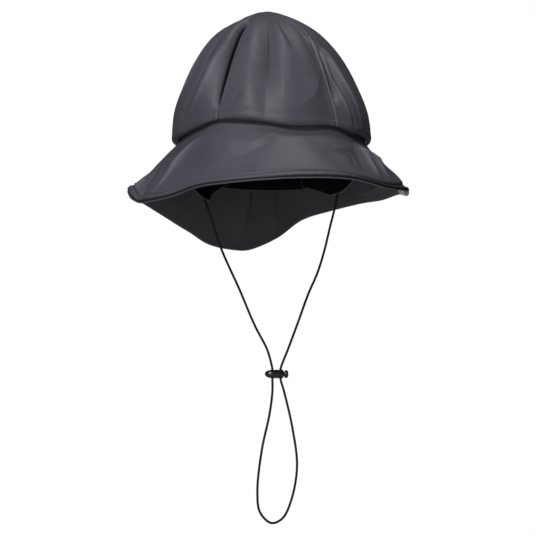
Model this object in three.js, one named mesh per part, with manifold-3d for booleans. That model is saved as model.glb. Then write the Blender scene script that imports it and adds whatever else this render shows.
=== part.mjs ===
// Sou wester rain hat with a gored crown, a wide brim with a long neck flap,
// an inner head band, two ear tabs and a chin cord with a press-button cord lock.
// Millimetres, +Z up, front of the hat towards -Y, the head opening's centre at the origin.
import * as THREE from "three";
import { mergeVertices } from "three/addons/utils/BufferGeometryUtils.js";
import Module from "manifold-3d";

// Fabric and fit.
const CLOTH = 1.2;
const FACING_CLOTH = 1.0;
const BAND_CLOTH = 1.5;
const GAP = 0.3;

// Head seam, where crown and brim meet.
const SEAM_HALF_WIDTH = 92;
const SEAM_HALF_LENGTH = 96;
const SEAM_SLACK = 0.55;
const SEAM_RISE = 5;

// Crown.
const LIP_REACH = 0.92;
const CROWN_HALF_WIDTH = SEAM_HALF_WIDTH / LIP_REACH;
const CROWN_HALF_LENGTH = SEAM_HALF_LENGTH / LIP_REACH;
const CROWN_HEIGHT = 134;
const CROWN_LEAN = -4.5;
const CROWN_LEAN_POWER = 1.2;
const LIP_DROOP = 3;
const FOLD_DEPTH = 5;
const SEAM_DIP = 2.2;
const SEAM_DIP_SPREAD = 7;
const CROWN_ROWS = 13;
const CROWN_COLUMN_ANGLE = 8.5;

// Brim and neck flap.
const BRIM_HALF_WIDTH = 141;
const FLAP_DROP = 87;
const BRIM_FLARE = 0.25;
const BRIM_FOLD_DEPTH = 4;
const COLLAR_HEIGHT = 10;
const HEM = 7;
const HEM_PUFF = 0.9;
const FACING_PEEK = 1.4;
const BRIM_COLUMNS = 80;

// Inner band and ear tabs.
const BAND_TOP = 8;
const BAND_DROP = 34.5;
const BAND_TAPER = 2.5;
const BAND_COLUMNS = 52;
const TAB_TOP = -12;
const TAB_CLOTH = 1.8;
const TAB_TIP_HALF = 2.6;
const TAB_COLUMNS = 10;
const TAB_ROWS = 5;
const TAB_SOCKET = 7;
const TAB_SHOULDER = 0.8;

// Chin cord and its lock.
const CORD_RADIUS = 1.2;
const CORD_STEPS = 80;
const CORD_SIDES = 8;
const LOCK_X = 10.4;
const LOCK_Y = 36;
const LOCK_Z = -232;
const LOCK_LEFT = 12;
const LOCK_RIGHT = 6.6;
const LOCK_HALF_HEIGHT = 4.4;
const LOCK_HALF_DEPTH = 5;
const LOCK_SIDES = 20;
const HOLE_LEFT = -4.4;
const HOLE_RIGHT = 3.9;
const BORE_RADIUS = 2.8;
const BORE_DEPTH = 13.8;
const BUTTON_TRAVEL = 1.2;
const CAP_LENGTH = 3.6;
const ROUND_SIDES = 16;

// Crown outline from the seam, out over the lip and up to the top.
const CROWN_PROFILE = [
  { reach: LIP_REACH, height: 0.004 },
  { reach: 0.94, height: -0.012 },
  { reach: 0.975, height: -0.01 },
  { reach: 0.997, height: 0.045 },
  { reach: 1.0, height: 0.1 },
  { reach: 0.982, height: 0.185 },
  { reach: 0.935, height: 0.3 },
  { reach: 0.845, height: 0.47 },
  { reach: 0.735, height: 0.62 },
  { reach: 0.603, height: 0.75 },
  { reach: 0.445, height: 0.854 },
  { reach: 0.26, height: 0.932 },
  { reach: 0.1, height: 0.982 },
  { reach: 0.0, height: 1.0 },
];

// The six crown seams, angles in degrees from the front towards +X.
const SEAMS = [
  { foot: -41, top: -34 },
  { foot: 32, top: 25 },
  { foot: 98, top: 90 },
  { foot: 148, top: 144 },
  { foot: 204, top: 206 },
  { foot: 252, top: 264 },
];
const GORES = [
  { name: "crown_gore_front", from: 0, to: 1 },
  { name: "crown_gore_front_right", from: 1, to: 2 },
  { name: "crown_gore_back_right", from: 2, to: 3 },
  { name: "crown_gore_back", from: 3, to: 4 },
  { name: "crown_gore_back_left", from: 4, to: 5 },
  { name: "crown_gore_front_left", from: 5, to: 0 },
];

// Folds of the crown: where they start and end up the crown, their angles there,
// how far they stand out (minus sinks in) and how wide they are in degrees.
const CROWN_FOLDS = [
  { from: 0.04, to: 0.84, foot: -41, top: -33, depth: -0.9, spread: 4 },
  { from: 0.06, to: 0.95, foot: -54, top: -42, depth: 0.75, spread: 6 },
  { from: -0.06, to: 0.5, foot: -78, top: -44, depth: 0.6, spread: 6 },
  { from: -0.1, to: 1.0, foot: -66, top: -66, depth: -0.35, spread: 9 },
  { from: -0.1, to: 0.95, foot: -10, top: -9, depth: -0.4, spread: 7 },
  { from: -0.1, to: 0.9, foot: 1, top: 3, depth: 0.4, spread: 7 },
  { from: -0.1, to: 0.8, foot: -21, top: -22, depth: 0.35, spread: 8 },
  { from: -0.05, to: 0.4, foot: 20, top: 32, depth: -0.5, spread: 9 },
  { from: 0.3, to: 0.85, foot: 30, top: 19, depth: -0.7, spread: 4 },
  { from: -0.1, to: 0.8, foot: 50, top: 24, depth: 0.6, spread: 5 },
  { from: -0.05, to: 0.6, foot: 66, top: 32, depth: 0.45, spread: 5 },
  { from: -0.1, to: 0.7, foot: 118, top: 118, depth: 0.4, spread: 12 },
  { from: 0.1, to: 0.9, foot: 170, top: 174, depth: -0.4, spread: 9 },
  { from: -0.1, to: 0.7, foot: 190, top: 188, depth: 0.4, spread: 10 },
  { from: -0.1, to: 0.7, foot: 230, top: 232, depth: 0.45, spread: 11 },
];

// How the head seam rises and dips around the front, in shares of the seam's rise.
const SEAM_WAVE = [
  { angle: -90, rise: 0 },
  { angle: -66, rise: 0.1 },
  { angle: -55, rise: 0.5 },
  { angle: -44, rise: 1.0 },
  { angle: -27, rise: 0.85 },
  { angle: -17, rise: 0.42 },
  { angle: -7, rise: -0.05 },
  { angle: 4, rise: -0.25 },
  { angle: 19, rise: 0.1 },
  { angle: 32, rise: 0.2 },
  { angle: 46, rise: -0.15 },
  { angle: 66, rise: 0 },
  { angle: 180, rise: 0 },
];

// How the crown's lower lip droops below the seam around the front.
const LIP_WAVE = [
  { angle: -90, droop: 0.2 },
  { angle: -40, droop: -0.2 },
  { angle: -15, droop: 0.1 },
  { angle: 10, droop: 1.0 },
  { angle: 30, droop: 0.7 },
  { angle: 60, droop: 0.3 },
  { angle: 100, droop: 0.0 },
  { angle: 180, droop: 0.3 },
];

// Edge of the brim around the hat, starting at the front.
const BRIM_EDGE = [
  { angle: 0, reach: 0.98, drop: 0.71 },
  { angle: 25, reach: 0.99, drop: 0.68 },
  { angle: 45, reach: 0.99, drop: 0.71 },
  { angle: 60, reach: 0.99, drop: 0.67 },
  { angle: 73, reach: 0.99, drop: 0.62 },
  { angle: 87, reach: 0.985, drop: 0.6 },
  { angle: 100, reach: 0.985, drop: 0.52 },
  { angle: 115, reach: 0.99, drop: 0.52 },
  { angle: 130, reach: 1.0, drop: 0.51 },
  { angle: 148, reach: 1.03, drop: 0.56 },
  { angle: 160, reach: 1.06, drop: 0.645 },
  { angle: 170, reach: 1.1, drop: 0.845 },
  { angle: 180, reach: 1.12, drop: 0.985 },
  { angle: 185, reach: 1.13, drop: 1.0 },
  { angle: 197, reach: 1.12, drop: 0.95 },
  { angle: 207, reach: 1.1, drop: 0.815 },
  { angle: 221, reach: 1.06, drop: 0.69 },
  { angle: 236, reach: 1.04, drop: 0.605 },
  { angle: 255, reach: 1.035, drop: 0.57 },
  { angle: 269, reach: 1.035, drop: 0.615 },
  { angle: 276, reach: 1.02, drop: 0.735 },
  { angle: 286, reach: 0.99, drop: 0.815 },
  { angle: 300, reach: 0.99, drop: 0.85 },
  { angle: 310, reach: 0.99, drop: 0.835 },
  { angle: 321, reach: 0.99, drop: 0.78 },
  { angle: 340, reach: 0.985, drop: 0.745 },
];

// Folds of the brim: shares of the way from seam to edge, otherwise as the crown's.
const BRIM_FOLDS = [
  { from: 0.0, to: 0.85, foot: -44, top: -86, depth: 0.8, spread: 6 },
  { from: 0.5, to: 1.1, foot: -74, top: -76, depth: 0.4, spread: 5 },
  { from: 0.45, to: 1.2, foot: -101, top: -66, depth: -0.75, spread: 5 },
  { from: 0.0, to: 0.9, foot: -30, top: -18, depth: -0.3, spread: 6 },
  { from: 0.1, to: 1.0, foot: 14, top: 30, depth: -0.3, spread: 6 },
  { from: 0.05, to: 1.0, foot: 40, top: 76, depth: 0.6, spread: 6 },
  { from: -0.1, to: 0.95, foot: -98, top: -104, depth: 0.45, spread: 14 },
  { from: -0.1, to: 1.0, foot: 84, top: 88, depth: 0.4, spread: 13 },
  { from: 0.1, to: 1.05, foot: 158, top: 164, depth: -0.5, spread: 7 },
  { from: 0.1, to: 1.05, foot: 218, top: 213, depth: -0.4, spread: 8 },
];

// Rows of the brim between the seam and the hem, as shares of that way.
const BRIM_ROWS = [0.12, 0.3, 0.48, 0.66, 0.84];

// Rows of the rolled hem: how far back from the edge in hem widths, how far out in puffs.
const HEM_ROWS = [
  { back: 1.0, puff: -0.5 },
  { back: 0.68, puff: 1.0 },
  { back: 0.28, puff: 0.9 },
  { back: 0.0, puff: -0.1 },
];

// Ear tabs: angles of their ends and tip, reach of the tip as a share of the seam's half width,
// and how far the tip hangs as a share of the flap's drop.
const EAR_TABS = [
  { name: "ear_tab_left", front: -86, rear: -155, tip: -118, reach: 0.785, drop: 0.635 },
  { name: "ear_tab_right", front: 84, rear: 150, tip: 113, reach: 0.86, drop: 0.54 },
];

// Route of the cord from the left tab through the lock, around the loop and back up, in mm.
const CORD_ROUTE_LEFT = [
  [-58.4, 32.8, -71],
  [-46.5, 36, -105],
  [-27.5, 36, -147],
  [-12, 36, -183],
  [0.5, 36, -207],
  [4.5, 36, -220],
];
const CORD_LOOP = [
  [6, 36, -250],
  [3, 36, -273],
  [-4.6, 36, -308],
  [-9.2, 36, -350],
  [-6.5, 36, -371],
  [4.8, 36, -381.5],
  [16, 36, -377],
  [25, 36, -359],
  [31, 36, -325],
  [26.5, 36, -287],
  [18, 36, -250],
];
const CORD_ROUTE_RIGHT = [
  [17, 36, -219],
  [21.5, 36, -208],
  [32, 36, -180],
  [43, 36.5, -150],
  [53, 37, -127],
  [60, 36.2, -104],
  [65.5, 33.8, -80],
  [69.9, 30.4, -61],
];

const radians = THREE.MathUtils.degToRad;

// Cubic through knots (x, y) with slopes taken from the neighbours.
function cubic(knots, x) {
  let k = 0;
  while (k < knots.length - 2 && x > knots[k + 1].x) {
    k += 1;
  }
  const a = knots[k];
  const b = knots[k + 1];
  const h = b.x - a.x;
  const slope = (i) => {
    const low = Math.max(0, i - 1);
    const high = Math.min(knots.length - 1, i + 1);
    return (knots[high].y - knots[low].y) / (knots[high].x - knots[low].x);
  };
  const u = (x - a.x) / h;
  const m0 = slope(k) * h;
  const m1 = slope(k + 1) * h;
  return (2 * u ** 3 - 3 * u ** 2 + 1) * a.y + (u ** 3 - 2 * u ** 2 + u) * m0
    + (3 * u ** 2 - 2 * u ** 3) * b.y + (u ** 3 - u ** 2) * m1;
}

// Value of one column of an angle table that runs once around the hat.
function around(table, column, angle) {
  const first = table[0].angle;
  const turned = ((angle - first) % 360 + 360) % 360 + first;
  const knots = table.map((row) => ({ x: row.angle, y: row[column] }));
  const before = table.slice(-2).map((row) => ({ x: row.angle - 360, y: row[column] }));
  const after = table.slice(0, 2).map((row) => ({ x: row.angle + 360, y: row[column] }));
  return cubic([...before, ...knots, ...after], turned);
}

// Difference of two angles, between -180 and 180 degrees.
function angleBetween(a, b) {
  return ((a - b + 180) % 360 + 360) % 360 - 180;
}

// Sum of the folds at one place: along runs from 0 to 1 up the crown or out along the brim.
function foldAt(folds, depth, angle, along) {
  let sum = 0;
  for (const fold of folds) {
    const share = (along - fold.from) / (fold.to - fold.from);
    if (share > 0 && share < 1) {
      const middle = fold.foot + (fold.top - fold.foot) * share;
      const off = angleBetween(angle, middle) / fold.spread;
      sum += fold.depth * depth * Math.sin(Math.PI * share) * Math.exp(-off * off);
    }
  }
  return sum;
}

// Closed solid between an outer and an inner sheet of points, open or closed around.
function sheetSolid(outer, inner, closedAround) {
  const rows = outer.length;
  const columns = outer[0].length;
  const points = [...outer.flat(), ...inner.flat()];
  const at = (side, row, column) => side * rows * columns + row * columns + (column % columns);
  const faces = [];
  const quad = (a, b, c, d) => faces.push([a, b, c], [a, c, d]);
  const last = closedAround ? columns : columns - 1;
  for (let r = 0; r < rows - 1; r += 1) {
    for (let c = 0; c < last; c += 1) {
      quad(at(0, r, c), at(0, r, c + 1), at(0, r + 1, c + 1), at(0, r + 1, c));
      quad(at(1, r, c), at(1, r + 1, c), at(1, r + 1, c + 1), at(1, r, c + 1));
    }
  }
  for (let c = 0; c < last; c += 1) {
    quad(at(0, 0, c), at(1, 0, c), at(1, 0, c + 1), at(0, 0, c + 1));
    quad(at(0, rows - 1, c), at(0, rows - 1, c + 1), at(1, rows - 1, c + 1), at(1, rows - 1, c));
  }
  if (!closedAround) {
    for (let r = 0; r < rows - 1; r += 1) {
      quad(at(0, r, 0), at(0, r + 1, 0), at(1, r + 1, 0), at(1, r, 0));
      quad(at(0, r, last), at(1, r, last), at(1, r + 1, last), at(0, r + 1, last));
    }
  }
  return tidySolid(points, faces);
}

// Merges equal points, drops empty triangles and turns the faces outwards.
function tidySolid(points, faces) {
  const soup = new THREE.BufferGeometry();
  const flat = faces.flat().flatMap((index) => points[index].toArray());
  soup.setAttribute("position", new THREE.Float32BufferAttribute(flat, 3));
  const merged = mergeVertices(soup, 1e-3);
  const index = merged.getIndex();
  const place = merged.getAttribute("position");
  const corner = (k) => new THREE.Vector3().fromBufferAttribute(place, index.getX(k));
  const kept = [];
  let volume = 0;
  for (let k = 0; k < index.count; k += 3) {
    const [a, b, c] = [index.getX(k), index.getX(k + 1), index.getX(k + 2)];
    if (a !== b && b !== c && c !== a) {
      kept.push([a, b, c]);
      volume += corner(k).dot(corner(k + 1).cross(corner(k + 2)));
    }
  }
  const turned = volume < 0 ? kept.map(([a, b, c]) => [a, c, b]) : kept;
  merged.setIndex(turned.flat());
  return merged;
}

// Direction out from the axis at an angle.
function outward(angle) {
  return new THREE.Vector3(Math.sin(radians(angle)), -Math.cos(radians(angle)), 0);
}

// Point at a share of the way around an ellipse of the hat.
function ellipsePoint(halfWidth, halfLength, angle, z) {
  return new THREE.Vector3(halfWidth * Math.sin(radians(angle)), -halfLength * Math.cos(radians(angle)), z);
}

// Knots of the crown outline over the length along it.
function profileKnots(column, size) {
  let run = 0;
  return CROWN_PROFILE.map((row, i) => {
    if (i > 0) {
      const before = CROWN_PROFILE[i - 1];
      const out = (row.reach - before.reach) * CROWN_HALF_WIDTH;
      const up = (row.height - before.height) * CROWN_HEIGHT;
      run += Math.hypot(out, up);
    }
    return { x: run, y: row[column] * size };
  });
}
const REACH_KNOTS = profileKnots("reach", 1);
const HEIGHT_KNOTS = profileKnots("height", CROWN_HEIGHT);
const CROWN_RUN = REACH_KNOTS[REACH_KNOTS.length - 1].x;

// Height of the head seam at an angle.
function seamHeight(angle) {
  return SEAM_RISE * around(SEAM_WAVE, "rise", angle);
}

// Angle of a crown seam at a share of the way up.
function seamAngle(seam, along) {
  return seam.foot + (seam.top - seam.foot) * Math.min(1, along / 0.8);
}

// Point of the crown's outer face, sunk by a depth below it.
function crownPoint(angle, along, sunk) {
  const run = along * CROWN_RUN;
  const reach = Math.max(0, cubic(REACH_KNOTS, run));
  const wave = seamHeight(angle) * (1 - THREE.MathUtils.smoothstep(along, 0, 0.25));
  const height = cubic(HEIGHT_KNOTS, run) + wave;
  const step = 0.5;
  const low = Math.max(0, run - step);
  const high = Math.min(CROWN_RUN, run + step);
  const alongReach = (cubic(REACH_KNOTS, high) - cubic(REACH_KNOTS, low)) * CROWN_HALF_WIDTH;
  const alongHeight = cubic(HEIGHT_KNOTS, high) - cubic(HEIGHT_KNOTS, low);
  const slope = new THREE.Vector2(alongHeight, -alongReach).normalize();
  const near = Math.min(1, reach * 3);
  const lip = Math.max(0, 1 - along / 0.12);
  const base = Math.min(1, along / 0.05);
  let dip = 0;
  for (const seam of SEAMS) {
    const off = angleBetween(angle, seamAngle(seam, along)) / SEAM_DIP_SPREAD;
    dip -= SEAM_DIP * Math.exp(-off * off);
  }
  const fold = (foldAt(CROWN_FOLDS, FOLD_DEPTH, angle, along) + dip) * near * base;
  const push = fold - sunk;
  const droop = LIP_DROOP * around(LIP_WAVE, "droop", angle) * lip * Math.min(1, along / 0.035) ** 1.5;
  const point = ellipsePoint(CROWN_HALF_WIDTH * reach, CROWN_HALF_LENGTH * reach, angle, height - droop);
  point.addScaledVector(outward(angle), push * slope.x);
  point.z += push * slope.y;
  const raised = Math.max(0, height / CROWN_HEIGHT);
  point.x += CROWN_LEAN * raised ** CROWN_LEAN_POWER;
  return point;
}

// One gore between two seams, ending in a wedge at the top.
function crownGore(gore) {
  const left = SEAMS[gore.from];
  const right = SEAMS[gore.to];
  const wrap = right.foot < left.foot ? 360 : 0;
  const columns = Math.round((right.foot + wrap - left.foot) / CROWN_COLUMN_ANGLE);
  const outer = [];
  const inner = [];
  for (let r = 0; r <= CROWN_ROWS; r += 1) {
    const along = r === CROWN_ROWS ? 1 : 0.985 * (r / (CROWN_ROWS - 1)) ** 1.5;
    const reach = Math.max(0, cubic(REACH_KNOTS, along * CROWN_RUN)) * CROWN_HALF_WIDTH;
    const from = seamAngle(left, along);
    const to = seamAngle(right, along) + wrap;
    const tip = GAP / 2 / Math.sin(radians((to - from) / 2));
    const half = THREE.MathUtils.radToDeg(Math.asin(Math.min(1, GAP / 2 / Math.max(reach, tip))));
    const outerRow = [];
    const innerRow = [];
    for (let c = 0; c <= columns; c += 1) {
      const angle = from + half + (to - from - 2 * half) * (c / columns);
      const top = outward((from + to) / 2).multiplyScalar(tip);
      const placed = (sunk) => {
        return r === CROWN_ROWS ? top.clone().add(crownPoint(0, 1, sunk)) : crownPoint(angle, along, sunk);
      };
      outerRow.push(placed(0));
      innerRow.push(placed(CLOTH));
    }
    outer.push(outerRow);
    inner.push(innerRow);
  }
  return sheetSolid(outer, inner, false);
}

// Point of the brim's middle face at a share of the way from seam to edge.
function brimFace(angle, along) {
  const edge = outward(angle).multiplyScalar(BRIM_HALF_WIDTH * around(BRIM_EDGE, "reach", angle));
  const drop = -FLAP_DROP * around(BRIM_EDGE, "drop", angle);
  const seam = ellipsePoint(SEAM_HALF_WIDTH - SEAM_SLACK, SEAM_HALF_LENGTH - SEAM_SLACK, angle, 0);
  const bow = along * (1 - along);
  const share = along - BRIM_FLARE * bow;
  const point = seam.lerp(edge, share);
  const wave = seamHeight(angle) * (1 - THREE.MathUtils.smoothstep(along, 0, 0.5));
  point.z = drop * (along + 0.4 * BRIM_FLARE * bow) + wave;
  return point;
}

// Direction straight out of the brim's upper face.
function brimNormal(angle, along) {
  const low = Math.max(0.04, Math.min(0.96, along));
  const across = brimFace(angle + 1, low).sub(brimFace(angle - 1, low));
  const down = brimFace(angle, low + 0.04).sub(brimFace(angle, low - 0.04));
  return down.cross(across).normalize();
}

// Brim point lifted off its face, with its folds.
function brimPoint(angle, along, lift) {
  const grown = THREE.MathUtils.smoothstep(along, 0, 0.3);
  const fold = foldAt(BRIM_FOLDS, BRIM_FOLD_DEPTH, angle, along) * grown;
  return brimFace(angle, along).addScaledVector(brimNormal(angle, along), fold + lift);
}

// Length of the brim from seam to edge at an angle.
function brimLength(angle) {
  return brimFace(angle, 1).distanceTo(brimFace(angle, 0));
}

// Share of the brim's length that lies between the seam and the hem.
function bodyShare(angle) {
  return 1 - (FACING_PEEK + HEM) / brimLength(angle);
}

// Angles of the brim's columns.
function brimAngles() {
  return Array.from({ length: BRIM_COLUMNS }, (_, c) => c * 360 / BRIM_COLUMNS);
}

// Outer layer of the brim with its rolled hem and the seam allowance that stands up inside the crown.
function brimOuter() {
  const outer = [];
  const inner = [];
  const halfWidth = SEAM_HALF_WIDTH - SEAM_SLACK;
  const halfLength = SEAM_HALF_LENGTH - SEAM_SLACK;
  const collar = (inset, heightAt) => (angle) =>
    ellipsePoint(halfWidth - inset, halfLength - inset, angle, heightAt(angle));
  const addRow = (outerAt, innerAt) => {
    outer.push(brimAngles().map(outerAt));
    inner.push(brimAngles().map(innerAt));
  };
  addRow(collar(0, () => COLLAR_HEIGHT), collar(CLOTH, () => COLLAR_HEIGHT));
  addRow(collar(0, seamHeight), collar(CLOTH, (angle) => seamHeight(angle) - 0.4));
  for (const share of BRIM_ROWS) {
    const atRow = (angle) => share * bodyShare(angle);
    addRow((angle) => brimPoint(angle, atRow(angle), 0), (angle) => brimPoint(angle, atRow(angle), -CLOTH));
  }
  for (const row of HEM_ROWS) {
    const atRow = (angle) => 1 - (FACING_PEEK + row.back * HEM) / brimLength(angle);
    const lift = row.puff * HEM_PUFF;
    const under = Math.max(0, row.puff) * GAP - CLOTH;
    const liftedBy = (height) => (angle) => brimPoint(angle, atRow(angle), height);
    addRow(liftedBy(lift), liftedBy(under));
  }
  return sheetSolid(outer, inner, true);
}

// Under layer of the brim, its edge peeking out below the rolled hem.
function brimFacing() {
  const outer = [];
  const inner = [];
  const addRow = (atRow) => {
    outer.push(brimAngles().map((angle) => brimPoint(angle, atRow(angle), -CLOTH - GAP)));
    inner.push(brimAngles().map((angle) => brimPoint(angle, atRow(angle), -CLOTH - GAP - FACING_CLOTH)));
  };
  for (const share of BRIM_ROWS) {
    addRow((angle) => share * bodyShare(angle));
  }
  addRow((angle) => 1 - (FACING_PEEK + HEM) / brimLength(angle));
  addRow(() => 1);
  return sheetSolid(outer, inner, true);
}

// Inset of the band's outer face from the seam line at a height below its top.
function bandInset(z) {
  const hang = Math.max(0, -z) / BAND_DROP;
  return SEAM_SLACK + CLOTH + GAP + BAND_TAPER * hang;
}

// Point on the inner band's outer face, or deeper inside it.
function bandPoint(angle, z, inset) {
  const all = bandInset(z) + inset;
  return ellipsePoint(SEAM_HALF_WIDTH - all, SEAM_HALF_LENGTH - all, angle, z);
}

// Head band that hangs inside the seam.
function innerBand() {
  const outer = [];
  const inner = [];
  const angles = Array.from({ length: BAND_COLUMNS }, (_, c) => c * 360 / BAND_COLUMNS);
  for (const z of [BAND_TOP, 0, -BAND_DROP]) {
    outer.push(angles.map((angle) => bandPoint(angle, z, 0)));
    inner.push(angles.map((angle) => bandPoint(angle, z, BAND_CLOTH)));
  }
  return sheetSolid(outer, inner, true);
}

// Middle of a tab's tip, where the cord leaves it.
function tabTip(tab) {
  const reach = SEAM_HALF_WIDTH * tab.reach;
  return outward(tab.tip).multiplyScalar(reach).setZ(-FLAP_DROP * tab.drop);
}

// Middle of a tab's cloth at a place across it (from -1 to 1) and down it, its angle and its thickness.
function tabPlace(tab, side, down) {
  const tip = tabTip(tab);
  const out = outward(tab.tip);
  const end = side < 0 ? tab.front : tab.rear;
  const angle = tab.tip + (end - tab.tip) * Math.abs(side);
  const middle = Math.min(1, (1 - Math.abs(side)) / TAB_SHOULDER);
  const bottom = THREE.MathUtils.lerp(-BAND_DROP + 3, tip.z, middle);
  const z = THREE.MathUtils.lerp(TAB_TOP, bottom, down);
  const face = bandPoint(angle, Math.max(z, -BAND_DROP), BAND_CLOTH + GAP);
  const thick = TAB_CLOTH + (2 * TAB_TIP_HALF - TAB_CLOTH) * middle ** 4 * down ** 3;
  const from = face.dot(out) - thick / 2;
  const pulled = THREE.MathUtils.lerp(from, Math.min(from, tip.dot(out)), middle ** 1.6 * down ** 2);
  const centre = face.setZ(z).addScaledVector(outward(angle), -thick / 2);
  centre.addScaledVector(out, pulled - from);
  return { centre, angle, thick };
}

// Direction up along the middle of a tab from its tip, the way the cord's end lies in it.
function tabWay(tab) {
  const tip = tabTip(tab);
  const above = tabPlace(tab, 0, 1 - TAB_SOCKET / (TAB_TOP - tip.z));
  return above.centre.sub(tip).normalize();
}

// Triangular ear tab with a blunt tip on the band's inner face, thicker around the cord's end.
function earTab(tab) {
  const outer = [];
  const inner = [];
  for (let r = 0; r <= TAB_ROWS; r += 1) {
    const outerRow = [];
    const innerRow = [];
    for (let c = 0; c <= TAB_COLUMNS; c += 1) {
      const place = tabPlace(tab, 2 * c / TAB_COLUMNS - 1, r / TAB_ROWS);
      const half = outward(place.angle).multiplyScalar(place.thick / 2);
      outerRow.push(place.centre.clone().add(half));
      innerRow.push(place.centre.clone().sub(half));
    }
    outer.push(outerRow);
    inner.push(innerRow);
  }
  return sheetSolid(outer, inner, false);
}

// Whole route of the cord as a smooth curve.
function cordCurve() {
  const start = tabTip(EAR_TABS[0]);
  const end = tabTip(EAR_TABS[1]);
  const strand = (hole) => [1.1, 0, -1.1].map((share) =>
    new THREE.Vector3(LOCK_X + hole, LOCK_Y, LOCK_Z + share * LOCK_HALF_HEIGHT));
  const toPoint = (row) => new THREE.Vector3(...row);
  const inTab = (tab) => tabTip(tab).addScaledVector(tabWay(tab), TAB_SOCKET - GAP);
  return new THREE.CatmullRomCurve3([
    inTab(EAR_TABS[0]),
    start,
    ...CORD_ROUTE_LEFT.map(toPoint),
    ...strand(HOLE_LEFT),
    ...CORD_LOOP.map(toPoint),
    ...strand(HOLE_RIGHT).reverse(),
    ...CORD_ROUTE_RIGHT.map(toPoint),
    end,
    inTab(EAR_TABS[1]),
  ], false, "centripetal");
}

// Round cord along the whole route.
function chinCord() {
  const round = new THREE.Shape();
  for (let s = 0; s < CORD_SIDES; s += 1) {
    const turn = 2 * Math.PI * s / CORD_SIDES;
    round[s === 0 ? "moveTo" : "lineTo"](CORD_RADIUS * Math.cos(turn), CORD_RADIUS * Math.sin(turn));
  }
  round.closePath();
  const along = { steps: CORD_STEPS, bevelEnabled: false, extrudePath: cordCurve() };
  const tube = new THREE.ExtrudeGeometry(round, along);
  return plainSolid(tube);
}

// Keeps only the positions of a geometry and merges them.
function plainSolid(geometry) {
  const bare = new THREE.BufferGeometry();
  const loose = geometry.index ? geometry.toNonIndexed() : geometry;
  bare.setAttribute("position", loose.getAttribute("position").clone());
  return mergeVertices(bare, 1e-3);
}

// Solid of round or oval sections along X.
function loftAlongX(sections) {
  const points = [];
  const faces = [];
  for (const section of sections) {
    for (let s = 0; s < LOCK_SIDES; s += 1) {
      const turn = 2 * Math.PI * s / LOCK_SIDES;
      const y = LOCK_HALF_DEPTH * section.size * Math.cos(turn);
      const z = LOCK_HALF_HEIGHT * section.size * Math.sin(turn);
      points.push(new THREE.Vector3(section.x, y, z));
    }
  }
  for (let k = 0; k < sections.length - 1; k += 1) {
    for (let s = 0; s < LOCK_SIDES; s += 1) {
      const next = (s + 1) % LOCK_SIDES;
      const a = k * LOCK_SIDES;
      const b = a + LOCK_SIDES;
      faces.push([a + s, b + s, b + next], [a + s, b + next, a + next]);
    }
  }
  const last = (sections.length - 1) * LOCK_SIDES;
  for (let s = 1; s < LOCK_SIDES - 1; s += 1) {
    faces.push([0, s, s + 1], [last, last + s + 1, last + s]);
  }
  return tidySolid(points, faces);
}

// Round bar along an axis between two places.
function roundBar(radius, axis, from, to, y, z) {
  const bar = new THREE.CylinderGeometry(radius, radius, to - from, ROUND_SIDES);
  if (axis === "x") {
    bar.rotateZ(Math.PI / 2);
    bar.translate((from + to) / 2, y, z);
  } else {
    bar.rotateX(Math.PI / 2);
    bar.translate(y, z, (from + to) / 2);
  }
  return plainSolid(bar);
}

const kernel = await Module();
kernel.setup();

// Geometry to and from the join-and-cut kernel.
function toSolid(geometry) {
  const mesh = new kernel.Mesh({
    numProp: 3,
    vertProperties: new Float32Array(geometry.getAttribute("position").array),
    triVerts: new Uint32Array(geometry.getIndex().array),
  });
  return new kernel.Manifold(mesh);
}
function fromSolid(solid) {
  const mesh = solid.getMesh();
  const geometry = new THREE.BufferGeometry();
  geometry.setAttribute("position", new THREE.Float32BufferAttribute(mesh.vertProperties, 3));
  geometry.setIndex([...mesh.triVerts]);
  return mergeVertices(geometry, 1e-3);
}

// Ear tab with the socket for the cord's end.
function socketedTab(tab) {
  const tip = tabTip(tab);
  const socket = roundBar(CORD_RADIUS + GAP, "z", -4, TAB_SOCKET, 0, 0);
  const tilt = new THREE.Quaternion().setFromUnitVectors(new THREE.Vector3(0, 0, 1), tabWay(tab));
  socket.applyQuaternion(tilt);
  socket.translate(tip.x, tip.y, tip.z);
  return fromSolid(toSolid(earTab(tab)).subtract(toSolid(socket)));
}

// Hollow lock body with two cord holes and the bore for the button's stem.
function lockBody() {
  const shell = loftAlongX([
    { x: -LOCK_LEFT, size: 0.35 },
    { x: -LOCK_LEFT + 1, size: 0.62 },
    { x: -LOCK_LEFT + 3.5, size: 0.86 },
    { x: -LOCK_LEFT + 7, size: 1 },
    { x: LOCK_RIGHT - 0.8, size: 1 },
    { x: LOCK_RIGHT, size: 0.9 },
  ]);
  const bore = roundBar(BORE_RADIUS, "x", LOCK_RIGHT - BORE_DEPTH, LOCK_RIGHT + 2, 0, 0);
  let body = toSolid(shell).subtract(toSolid(bore));
  for (const hole of [HOLE_LEFT, HOLE_RIGHT]) {
    const way = roundBar(CORD_RADIUS + GAP, "z", -2 * LOCK_HALF_HEIGHT, 2 * LOCK_HALF_HEIGHT, hole, 0);
    body = body.subtract(toSolid(way));
  }
  const geometry = fromSolid(body);
  geometry.translate(LOCK_X, LOCK_Y, LOCK_Z);
  return geometry;
}

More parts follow.
